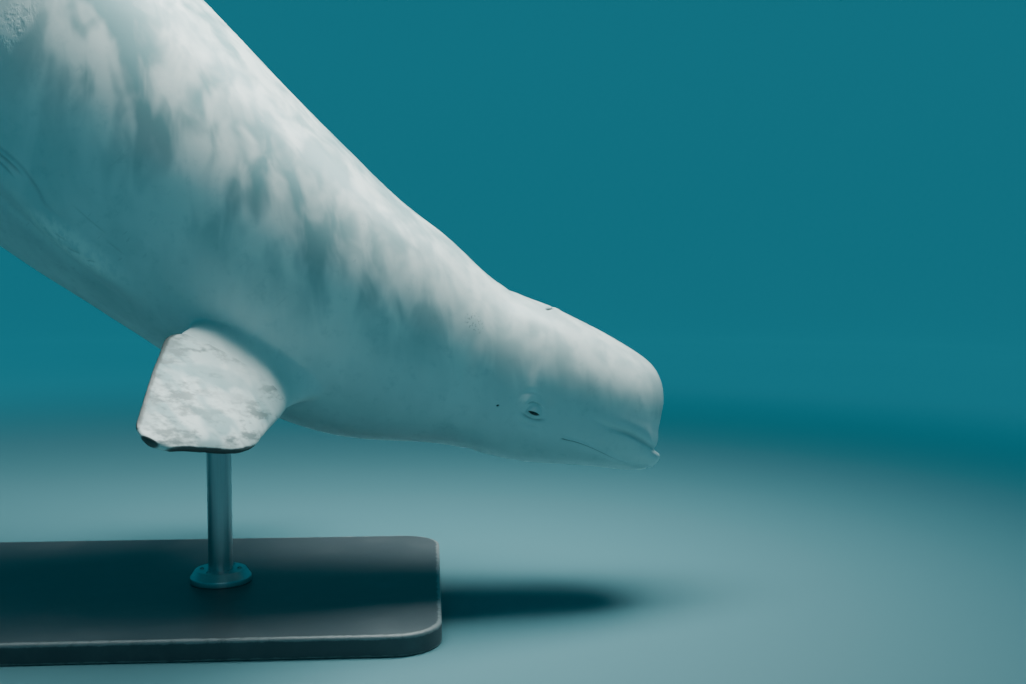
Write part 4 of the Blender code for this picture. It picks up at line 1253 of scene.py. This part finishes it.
def fin_marks(made, look, colour):
    """Return the colour with the blotches, smudges and dark rims of the flippers and flukes; the blotches
    are partly painted dappled light and the rims partly painted shade.
    """
    hind = made.mark("hind")
    edge = hind.math("MINIMUM", hind, made.mark("tip"))
    ragged = made.noise(made.place, 60.0, 3.0)
    # The dark rim: partly the fins' own dark edge, partly painted shade along the rounded edges
    rim = 1.0 - made.between(edge + ragged * 0.006, 0.0070, 0.0125)
    stain = 1.0 - made.between(edge + ragged * 0.030, 0.018, 0.055)
    brushed = made.noise(made.turned((1.0, 1.0, 3.6), (0.0, -12.0, 0.0)), 13.0, 4.0, 0.62)
    smudge = made.between(brushed, 0.47, 0.64) * (1.0 - made.between(edge, 0.05, 0.19))
    # Blotches in the cloud colour, partly painted dappled light like the body's clouds
    blotch = made.between(made.noise(made.place, 12.0, 2.0, 0.55), 0.42, 0.58)
    blotch = blotch * made.between(made.mark("limb"), 0.1, 0.4)
    for mask, tone in ((blotch * 0.72, look.cloud), (smudge * 0.82, look.smudge),
                       (stain * 0.34, look.smudge), (rim * 0.94, look.rim)):
        colour = made.blend(mask, colour, tone)
    return colour


def skin_finish(look):
    """Make the whale's skin: off-white, with painted shade over the cool lower sides and in its creases,
    cloudy mottling that is partly painted dappled light, and worn fin edges whose dark rims are partly
    painted shade.
    """
    made = Finish("whale_skin", Coat_Weight=look.wetness, Coat_Roughness=0.18, IOR=1.42)
    # The trunk gets stronger clouds, which are partly painted dappled light, and more scratches
    trunk = made.between(made.mark("place"), 0.40, 1.25) * 0.48 + 0.52
    colour, clouds = mottle_with_painted_light_and_shade(made, look, trunk)
    small = made.noise(made.place, 34.0, 4.0, 0.6)
    colour = made.blend(made.between(small, 0.52, 0.80) * 0.22, colour, look.cloud)
    colour, rubbed = wear_and_painted_light(made, look, colour, trunk)
    colour = fin_marks(made, look, colour)
    crease = made.mark("crease")
    # Painted shade in the folds, holes and the eye's slit, darkest in their depth
    colour = made.blend(made.between(crease, 0.06, 0.92), colour, look.crease)
    grain = made.noise(made.place, 380.0, 1.0, 0.5)
    wrinkle = made.noise(made.turned((14.0, 70.0, 70.0), ALONG_TRUNK), 1.0, 2.0, 0.55)
    relief = grain * 0.10 + wrinkle * 0.26 + made.noise(made.place, 60.0, 1.0) * 0.16 + rubbed * 0.9
    rough = 0.36 + clouds * 0.14 + small * 0.08 + crease * 0.15
    return made.finish(Base_Color=colour, Roughness=rough, Normal=made.bump(relief, 0.0014, 0.5))


def eye_finish(look):
    """Make the eye: near black, with a dark brown iris round a wide pupil and a pale rim."""
    made = Finish("whale_eye", Coat_Weight=1.0, Coat_Roughness=0.03)
    across = made.mark("across")
    upward = made.mark("upward")
    radius = (across * across + upward * upward) ** 0.5
    pupil = ((across * 0.72) ** 2.0 + (upward * 1.15) ** 2.0) ** 0.5
    fibres = made.noise(made.place, 900.0, 2.0)
    iris = made.blend(fibres, look.iris, look.iris_light)
    colour = made.blend(made.between(radius, 0.66, 0.78), iris, look.sclera)
    colour = made.blend(1.0 - made.between(pupil, 0.24, 0.30), colour, look.pupil)
    rough = 0.12 + fibres * 0.10
    return made.finish(Base_Color=colour, Roughness=rough, Normal=made.bump(fibres, 0.0002, 0.3))


def paint_finish(look):
    """Make the base's satin paint, with a roller's orange peel, dust and rubbed edges."""
    made = Finish("base_paint", Coat_Weight=0.15, Coat_Roughness=0.35)
    peel = made.noise(made.place, 330.0, 3.0)
    dust = made.noise(made.place, 7.0, 5.0, 0.65)
    colour = made.blend(made.between(dust, 0.42, 0.74) * 0.30, look.paint, look.dust)
    patchy = made.noise(made.place, 42.0, 4.0, 0.65)
    worn = made.between(made.mark("edge") * 0.55 + patchy * 0.45, 0.62, 0.78)
    colour = made.blend(worn * 0.75, colour, look.rubbed)
    rough = 0.36 + dust * 0.20 + peel * 0.08
    return made.finish(Base_Color=colour, Roughness=rough, Normal=made.bump(peel, 0.0006, 0.5))


def steel_finish(look):
    """Make brushed steel, with fine lines along the rods and faint finger marks."""
    made = Finish("rod_steel", Metallic=1.0)
    lines = made.noise(made.turned((900.0, 900.0, 8.0)), 1.0, 2.0)
    marks = made.noise(made.place, 22.0, 4.0, 0.6)
    colour = made.blend(lines, look.steel, look.steel_dark)
    rough = 0.22 + lines * 0.16 + marks * 0.12
    return made.finish(Base_Color=colour, Roughness=rough, Normal=made.bump(lines, 0.0002, 0.6))


def rubber_finish(look):
    """Make the gaskets' matt rubber."""
    made = Finish("gasket_rubber")
    grit = made.noise(made.place, 260.0, 3.0)
    bloom = made.noise(made.place, 30.0, 3.0)
    colour = made.blend(bloom, look.rubber, look.rubber_bloom)
    return made.finish(Base_Color=colour, Roughness=0.55 + grit * 0.25, Normal=made.bump(grit, 0.0004, 0.6))


def colour_property(name, default, description):
    """Return a colour that a user may change."""
    return FloatVectorProperty(name=name, description=description, default=default, subtype="COLOR",
                               size=3, min=0.0, max=1.0)


def length_property(name, default, description, **limits):
    """Return a length that a user may change."""
    return FloatProperty(name=name, description=description, default=default, unit="LENGTH", **limits)


class SkinLook(PropertyGroup):
    """Sizes and colours of the skin."""
    around: IntProperty(name="Points Around", description="Points in a ring of the skin, a multiple of 4",
                        default=144, min=48, max=240, step=4)
    head_step: length_property("Head Step", 0.0078, "Distance between the rings of the head", min=0.004)
    trunk_step: length_property("Trunk Step", 0.0190, "Distance between the rings of the trunk", min=0.008)
    unevenness: FloatProperty(name="Unevenness", description="Share of the soft waves in the skin",
                              default=1.0, min=0.0, max=3.0, subtype="FACTOR")
    wetness: FloatProperty(name="Wetness", description="Strength of the wet sheen",
                           default=0.22, min=0.0, max=1.0, subtype="FACTOR")
    pale: colour_property("Pale", (0.82, 0.875, 0.84), "Colour of the clean skin")
    # Cloud: partly the skin's own grey mottling, partly painted dappled light
    cloud: colour_property("Cloud", (0.215, 0.375, 0.390), "Colour of the grey clouds in the skin")
    # Under: painted shade, the darker cool colour laid over the lower sides
    under: colour_property("Under", (0.44, 0.605, 0.635), "Cooler colour of the lower sides")
    scratch: colour_property("Scratch", (0.42, 0.49, 0.49), "Colour of the healed scratches")
    smudge: colour_property("Smudge", (0.155, 0.185, 0.180), "Colour of the fins' smudges")
    # Rim: partly the fins' own dark edges, partly painted shade along their rounded edges
    rim: colour_property("Rim", (0.030, 0.034, 0.032), "Colour of the fins' rear edges")
    # Crease: painted shade in the depth of folds, holes and the eye's slit
    crease: colour_property("Crease", (0.022, 0.028, 0.030), "Colour in the depth of folds")


class EyeLook(PropertyGroup):
    """Colours of the eyes."""
    iris: colour_property("Iris", (0.030, 0.020, 0.014), "Dark colour of the iris")
    iris_light: colour_property("Iris Fibres", (0.085, 0.055, 0.034), "Light colour of the iris")
    pupil: colour_property("Pupil", (0.003, 0.003, 0.004), "Colour of the pupil")
    sclera: colour_property("Sclera", (0.34, 0.30, 0.28), "Colour of the eyeball round the iris")


class StandLook(PropertyGroup):
    """Sizes and colours of the stand's finishes and trimmings."""
    paint: colour_property("Paint", (0.060, 0.068, 0.074), "Colour of the painted base")
    dust: colour_property("Dust", (0.16, 0.17, 0.175), "Colour of the faint dust on the paint")
    rubbed: colour_property("Rubbed Edge", (0.26, 0.27, 0.27), "Colour of the base's rubbed edges")
    steel: colour_property("Steel", (0.56, 0.57, 0.58), "Colour of the rods")
    steel_dark: colour_property("Steel Lines", (0.38, 0.39, 0.40), "Colour of the brushed lines")
    rubber: colour_property("Rubber", (0.028, 0.030, 0.032), "Colour of the gaskets")
    rubber_bloom: colour_property("Rubber Bloom", (0.055, 0.058, 0.060), "Colour of the rubber's pale bloom")
    screws: IntProperty(name="Screws", description="Screws in each socket ring", default=6, min=3, max=12)
    screw_radius: length_property("Screw Radius", 0.0052, "Radius of a screw's head")
    screw_height: length_property("Screw Height", 0.0030, "Height of a screw's head")
    screw_circle: length_property("Screw Circle", 0.0435, "Radius of the circle of screws")


class StudioLook(PropertyGroup):
    """Sizes and colours of the studio."""
    floor: colour_property("Floor", (0.085, 0.215, 0.245), "Colour of the floor and backdrop")
    glow: colour_property("Backdrop Glow", (0.008, 0.132, 0.174), "Light that the backdrop gives off")
    key: FloatProperty(name="Key Light", description="Strength of the large light overhead",
                       default=114.0, min=0.0, unit="POWER")
    fill: FloatProperty(name="Fill Light", description="Strength of the cool light from the front",
                        default=4.0, min=0.0, unit="POWER")
    ambient: FloatProperty(name="Ambient", description="Strength of the light from over the backdrop",
                           default=0.6, min=0.0)
    flat_radius: length_property("Flat Radius", 9.5, "Radius of the floor's flat part")
    wall_radius: length_property("Wall Radius", 13.0, "Radius of the round backdrop")
    wall_height: length_property("Wall Height", 8.0, "Height of the round backdrop")


class WHALE_OT_skin(Operator):
    """Build the whale's skin in one piece, with its folds, lids and lips"""
    bl_idname = "whale.skin"
    bl_label = "Build Skin"

    def execute(self, context):
        look = context.scene.whale_skin
        skin = build_skin(look)
        skin.data.materials.append(skin_finish(look))
        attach(skin, "root")
        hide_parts(*FLESH)
        return {"FINISHED"}


class WHALE_OT_eyes(Operator):
    """Build both eyes, set in their lids"""
    bl_idname = "whale.eyes"
    bl_label = "Build Eyes"

    def execute(self, context):
        finish = eye_finish(context.scene.whale_eyes)
        lids = Lids()
        base = bend(lids.centre[None])[0]
        forward, upward, out = (bend((lids.centre + 0.01 * way)[None])[0] - base
                                for way in (lids.front, lids.up, lids.out))
        for side, way in (("right", 1.0), ("left", -1.0)):
            low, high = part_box("eye_" + side)
            centre = 0.5 * (np.array(low) + np.array(high))
            flip = np.array((1.0, way, 1.0))
            eye = self.ball("whale_eye_" + side, centre, forward * flip, upward * flip, out * flip)
            eye.data.materials.append(finish)
            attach(eye, "root")
            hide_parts("eye_" + side)
        return {"FINISHED"}

    def ball(self, name, centre, forward, upward, out):
        """Make one eyeball with its pole on the gaze, and mark where its surface faces."""
        forward, upward, out = (way / np.linalg.norm(way) for way in (forward, upward, out))
        gaze = out + GAZE_FORWARD * forward - GAZE_DOWN * upward
        gaze /= np.linalg.norm(gaze)
        turns = round_turns(EYE_TURNS)
        circle = np.outer(np.cos(turns), forward) + np.outer(np.sin(turns), upward)
        ball = loft(name, [centre + EYE_RADIUS * (math.cos(polar) * gaze + math.sin(polar) * circle)
                           for polar in np.linspace(EYE_POLE, math.pi - EYE_POLE, EYE_RINGS)])
        gap = (positions(ball.data) - centre) / EYE_RADIUS
        facing = np.where(gap @ gaze > 0.0, 1.0, 4.0)
        write(ball.data, "across", gap @ forward * facing)
        write(ball.data, "upward", gap @ upward * facing)
        return ball


class WHALE_OT_stand(Operator):
    """Finish the base, rods and rings, and add the gaskets and the rings' screws"""
    bl_idname = "whale.stand"
    bl_label = "Finish Stand"

    def execute(self, context):
        look = context.scene.whale_stand
        paint = paint_finish(look)
        steel = steel_finish(look)
        rubber = rubber_finish(look)
        self.stand_in(self.base(), "stand_base", paint, "base_paint")
        skin = bpy.data.objects["whale_skin"]
        tree = BVHTree.FromObject(skin, context.evaluated_depsgraph_get())
        tool = self.screw(look)
        rule = self.screw_rule(tool, steel)
        for name in ("front", "rear"):
            low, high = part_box("stand_rod_" + name)
            middle = 0.5 * (low + high)
            radius = 0.5 * (high.x - low.x)
            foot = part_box("stand_socket_" + name)[0].z
            rod = self.rod("stand_bar_" + name, middle, radius, low.z, high.z)
            ring = self.socket("stand_ring_" + name, middle, radius, foot)
            self.stand_in(rod, "stand_rod_" + name, steel, "rod_steel")
            self.stand_in(ring, "stand_socket_" + name, steel, "rod_steel")
            gasket = self.gasket("stand_gasket_" + name, middle, radius, tree)
            gasket.data.materials.append(rubber)
            top = foot + SOCKET_HEIGHT
            screws = self.screw_ring("stand_screws_" + name, rule, look, (middle.x, middle.y, top))
            for piece in (gasket, screws):
                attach(piece, "root")
        bpy.data.objects.remove(tool)
        return {"FINISHED"}

    def stand_in(self, piece, node, material, slot):
        """Let a finely made piece stand for a solid of the stand."""
        piece.data.materials.append(material)
        piece.data.set_sharp_from_angle(angle=math.radians(SHARP_ANGLE))
        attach(piece, "root")
        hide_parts(node)

    def base(self):
        """Make the base: a board with round corners and softly rounded edges, marked near its edges."""
        quarter = np.repeat(np.arange(4), CORNER_POINTS)
        share = np.tile(np.linspace(0.0, 1.0, CORNER_POINTS), 4)
        turns = 0.5 * math.pi * (quarter + share)
        way = np.stack([np.cos(turns), np.sin(turns)], axis=1)
        signs = np.array(((1.0, 1.0), (-1.0, 1.0), (-1.0, -1.0), (1.0, -1.0)))[quarter]
        core = signs * (np.array(BASE_HALF) - BASE_CORNER)
        # Each step up the side: how far inside the outline, how high, and how near an edge
        steps = [(BASE_CHAMFER, 0.0, 1.0), (0.0, BASE_CHAMFER, 1.0), (0.0, BASE_FADE_UP, BASE_FADE),
                 (0.0, 0.5 * BASE_HEIGHT, 0.0),
                 (0.0, BASE_HEIGHT - BASE_EDGE - BASE_FADE_DOWN, BASE_FADE)]
        for turn in np.linspace(0.0, 0.5 * math.pi, EDGE_STEPS + 1):
            steps.append((BASE_EDGE * (1.0 - math.cos(turn)),
                          BASE_HEIGHT - BASE_EDGE * (1.0 - math.sin(turn)), 1.0))
        steps += [(BASE_FADE_INWARD[0], BASE_HEIGHT, BASE_FADE), (BASE_FADE_INWARD[1], BASE_HEIGHT, 0.0)]
        rings = []
        for inset, height, _ in steps:
            flat = core + way * (BASE_CORNER - inset)
            rings.append(np.concatenate([flat, np.full((len(flat), 1), height)], axis=1))
        base = loft("stand_board", rings)
        nearness = np.repeat([mark for _, _, mark in steps], len(core))
        write(base.data, "edge", np.append(nearness, (0.0, 0.0)))
        return base

    def rod(self, name, middle, radius, low, high):
        """Make a rod with softly broken ends."""
        outline = ((radius - ROUND, low), (radius, low + ROUND), (radius, 0.5 * (low + high)),
                   (radius, high - ROUND), (radius - ROUND, high))
        return loft(name, round_rings(outline, round_turns(ROD_SIDES), middle.x, middle.y))

    def socket(self, name, middle, radius, foot):
        """Make the turned ring round the foot of a rod."""
        shoulder = foot + SOCKET_SHOULDER * SOCKET_HEIGHT
        top = foot + SOCKET_HEIGHT
        bore = radius + ROD_GAP
        outline = ((bore, foot), (SOCKET_RADIUS - ROUND, foot), (SOCKET_RADIUS, foot + ROUND),
                   (SOCKET_RADIUS, shoulder - ROUND), (SOCKET_RADIUS - 0.3 * ROUND, shoulder),
                   (SOCKET_RADIUS - 1.3 * ROUND, shoulder + 1.2 * ROUND),
                   (SOCKET_TOP_RADIUS + ROUND, top - 1.4 * ROUND), (SOCKET_TOP_RADIUS, top - 0.3 * ROUND),
                   (SOCKET_TOP_RADIUS - ROUND, top), (radius + ROUND, top), (bore, top - ROUND))
        return loft(name, round_rings(outline, round_turns(ROD_SIDES), middle.x, middle.y), wrap=True)

    def gasket(self, name, middle, radius, tree):
        """Make the rubber bead where a rod enters the belly, along the skin."""
        rings = []
        for turn in round_turns(GASKET_POINTS):
            way = Vector((math.cos(turn), math.sin(turn), 0.0))
            start = Vector((middle.x, middle.y, UNDER_BELLY)) + way * (radius + 0.6 * GASKET_RADIUS)
            place, normal, _, _ = tree.ray_cast(start, Vector((0.0, 0.0, 1.0)))
            seat = place + normal * (GASKET_RADIUS - GASKET_SINK)
            side = (way - normal * way.dot(normal)).normalized()
            rings.append([seat + (side * math.cos(roll) + normal * math.sin(roll)) * GASKET_RADIUS
                          for roll in round_turns(GASKET_SIDES)])
        return loft(name, rings, wrap=True)

    def screw(self, look):
        """Make one cap screw with a hexagon socket, its head's seat at the origin."""
        turns = round_turns(SCREW_SIDES)
        hexagon = math.cos(math.pi / 6) / np.cos((turns % (math.pi / 3)) - math.pi / 6)
        outline = [(radius * look.screw_radius * shape, height * look.screw_height)
                   for radius, height, shape in ((1.0, 0.0, 1.0), (1.0, 0.82, 1.0), (0.88, 1.0, 1.0),
                                                 (0.62, 1.0, hexagon), (0.58, 0.93, hexagon),
                                                 (0.58, 0.35, hexagon))]
        return loft("screw", round_rings(outline, turns))

    def screw_rule(self, tool, material):
        """Return the node tree that sets screws in a circle."""
        tree = bpy.data.node_groups.new("ring_screws", "GeometryNodeTree")
        inputs = (("Count", "NodeSocketInt"), ("Circle Radius", "NodeSocketFloat"),
                  ("Centre", "NodeSocketVector"), ("Seed", "NodeSocketInt"))
        tree.interface.new_socket("Geometry", in_out="OUTPUT", socket_type="NodeSocketGeometry")
        for name, kind in inputs:
            tree.interface.new_socket(name, in_out="INPUT", socket_type=kind)
        made = {}
        for key, kind in (("in", "NodeGroupInput"), ("circle", "GeometryNodeMeshCircle"),
                          ("move", "GeometryNodeTransform"), ("tool", "GeometryNodeObjectInfo"),
                          ("turn", "FunctionNodeRandomValue"), ("instance", "GeometryNodeInstanceOnPoints"),
                          ("real", "GeometryNodeRealizeInstances"), ("paint", "GeometryNodeSetMaterial"),
                          ("out", "NodeGroupOutput")):
            made[key] = tree.nodes.new(kind)
        made["turn"].data_type = "FLOAT_VECTOR"
        made["turn"].inputs["Min"].default_value = (0.0, 0.0, 0.0)
        made["turn"].inputs["Max"].default_value = (0.0, 0.0, 2.0 * math.pi)
        made["tool"].inputs["Object"].default_value = tool
        made["paint"].inputs["Material"].default_value = material
        links = (("in", "Count", "circle", "Vertices"), ("in", "Circle Radius", "circle", "Radius"),
                 ("circle", "Mesh", "move", "Geometry"), ("in", "Centre", "move", "Translation"),
                 ("move", "Geometry", "instance", "Points"), ("tool", "Geometry", "instance", "Instance"),
                 ("in", "Seed", "turn", "Seed"), ("turn", "Value", "instance", "Rotation"),
                 ("instance", "Instances", "real", "Geometry"), ("real", "Geometry", "paint", "Geometry"),
                 ("paint", "Geometry", "out", "Geometry"))
        for source, output, target, socket in links:
            tree.links.new(made[source].outputs[output], made[target].inputs[socket])
        return tree

    def screw_ring(self, name, rule, look, centre):
        """Set a ring of screws on a socket ring and keep it as a plain mesh."""
        holder = show(name + "_holder", bpy.data.meshes.new(name + "_holder"))
        modifier = holder.modifiers.new("screws", "NODES")
        modifier.node_group = rule
        values = {"Count": look.screws, "Circle Radius": look.screw_circle, "Centre": centre, "Seed": 3}
        for socket in rule.interface.items_tree:
            if socket.in_out == "INPUT":
                modifier[socket.identifier] = values[socket.name]
        depsgraph = bpy.context.evaluated_depsgraph_get()
        data = bpy.data.meshes.new_from_object(holder.evaluated_get(depsgraph), depsgraph=depsgraph)
        bpy.data.objects.remove(holder)
        data.set_sharp_from_angle(angle=math.radians(SCREW_SHARP_ANGLE))
        return show(name, data)


class WHALE_OT_studio(Operator):
    """Set the floor with its round backdrop, the soft lights and the camera"""
    bl_idname = "whale.studio"
    bl_label = "Set Studio"

    def execute(self, context):
        look = context.scene.whale_studio
        self.floor(look)
        self.light(KEY_LAMP, look.key)
        self.light(FILL_LAMP, look.fill)
        world = bpy.data.worlds.new("studio")
        world.use_nodes = True
        sky = world.node_tree.nodes["Background"]
        sky.inputs["Color"].default_value = (*look.glow, 1.0)
        sky.inputs["Strength"].default_value = look.ambient
        context.scene.world = world
        self.camera(context.scene)
        return {"FINISHED"}

    def floor(self, look):
        """Make the round floor whose rim rises into a backdrop."""
        curve = look.wall_radius - look.flat_radius
        outline = [(radius, 0.0) for radius in FLOOR_RINGS]
        for turn in np.linspace(0.0, 0.5 * math.pi, FLOOR_CURVE_STEPS + 1):
            outline.append((look.flat_radius + curve * math.sin(turn), curve * (1.0 - math.cos(turn))))
        outline.append((look.wall_radius, look.wall_height))
        floor = loft("studio_floor", round_rings(outline, round_turns(FLOOR_SIDES)), caps=False)
        with editing(floor.data) as mesh:
            rim = [edge for edge in mesh.edges
                   if edge.is_boundary and edge.verts[0].co.z < FLOOR_LEVEL]
            bmesh.ops.holes_fill(mesh, edges=rim)
            bmesh.ops.recalc_face_normals(mesh, faces=mesh.faces)
            if mesh.faces[0].normal.z < 0.0:
                bmesh.ops.reverse_faces(mesh, faces=mesh.faces)
        made = Finish("studio_floor", Emission_Strength=1.0)
        cloud = made.noise(made.place, 0.8, 3.0)
        darker = [FLOOR_CLOUDS * value for value in look.floor]
        colour = made.blend(cloud, look.floor, darker)
        far = made.node("ShaderNodeVectorMath", {"operation": "LENGTH"}, [made.place], output="Value")
        glow = made.blend(made.between(far, *GLOW_REACH), (0.0, 0.0, 0.0), look.glow)
        floor.data.materials.append(made.finish(
            Base_Color=colour, Roughness=0.62 + cloud * 0.1, Emission_Color=glow))

    def light(self, lamp, power):
        """Hang a large soft light."""
        back = (Vector(lamp.place) - Vector(lamp.aim)).normalized()
        side = Vector(lamp.along)
        side = (side - back * side.dot(back)).normalized()
        data = bpy.data.lights.new(lamp.name, "AREA")
        data.shape = "RECTANGLE"
        data.size, data.size_y = lamp.size
        data.energy = power
        data.color = lamp.colour
        data.spread = math.radians(LAMP_SPREAD)
        item = bpy.data.objects.new(lamp.name, data)
        item.location = lamp.place
        item.rotation_mode = "QUATERNION"
        item.rotation_quaternion = Matrix((side, back.cross(side), back)).transposed().to_quaternion()
        item.visible_camera = False
        bpy.context.scene.collection.objects.link(item)

    def camera(self, scene):
        """Set the camera on the whale's right side, a little above its head."""
        yaw = math.radians(CAMERA_YAW)
        dip = math.radians(CAMERA_DIP)
        lens = bpy.data.cameras.new("camera")
        lens.sensor_width = CAMERA_SENSOR
        lens.lens = CAMERA_LENS
        lens.clip_start, lens.clip_end = CAMERA_RANGE
        item = bpy.data.objects.new("camera", lens)
        item.location = CAMERA_PLACE
        aim = Vector((math.sin(yaw) * math.cos(dip), math.cos(yaw) * math.cos(dip), -math.sin(dip)))
        item.rotation_mode = "QUATERNION"
        item.rotation_quaternion = aim.to_track_quat("-Z", "Y")
        scene.collection.objects.link(item)
        scene.camera = item


class WHALE_PT_panel(Panel):
    """The whale's pieces in the 3D view's sidebar"""
    bl_idname = "WHALE_PT_panel"
    bl_label = "Beluga Whale"
    bl_space_type = "VIEW_3D"
    bl_region_type = "UI"
    bl_category = "Whale"

    def draw(self, context):
        for operator, group in STEPS:
            box = self.layout.box()
            box.operator(operator.bl_idname)
            look = getattr(context.scene, group)
            for name in look.bl_rna.properties.keys():
                if name not in ("rna_type", "name"):
                    box.prop(look, name)


STEPS = ((WHALE_OT_skin, "whale_skin"), (WHALE_OT_eyes, "whale_eyes"), (WHALE_OT_stand, "whale_stand"),
         (WHALE_OT_studio, "whale_studio"))
LOOKS = (("whale_skin", SkinLook), ("whale_eyes", EyeLook), ("whale_stand", StandLook),
         ("whale_studio", StudioLook))
CLASSES = (SkinLook, EyeLook, StandLook, StudioLook, WHALE_OT_skin, WHALE_OT_eyes, WHALE_OT_stand,
           WHALE_OT_studio, WHALE_PT_panel)


def register():
    """Register the classes and the scene's settings."""
    for item in CLASSES:
        bpy.utils.register_class(item)
    for name, group in LOOKS:
        setattr(bpy.types.Scene, name, PointerProperty(type=group))


def unregister():
    """Remove the scene's settings and the classes."""
    for name, _ in LOOKS:
        delattr(bpy.types.Scene, name)
    for item in reversed(CLASSES):
        bpy.utils.unregister_class(item)


def main():
    """Build everything in order."""
    register()
    bpy.ops.whale.skin()
    bpy.ops.whale.eyes()
    bpy.ops.whale.stand()
    bpy.ops.whale.studio()


if __name__ == "__main__":
    main()
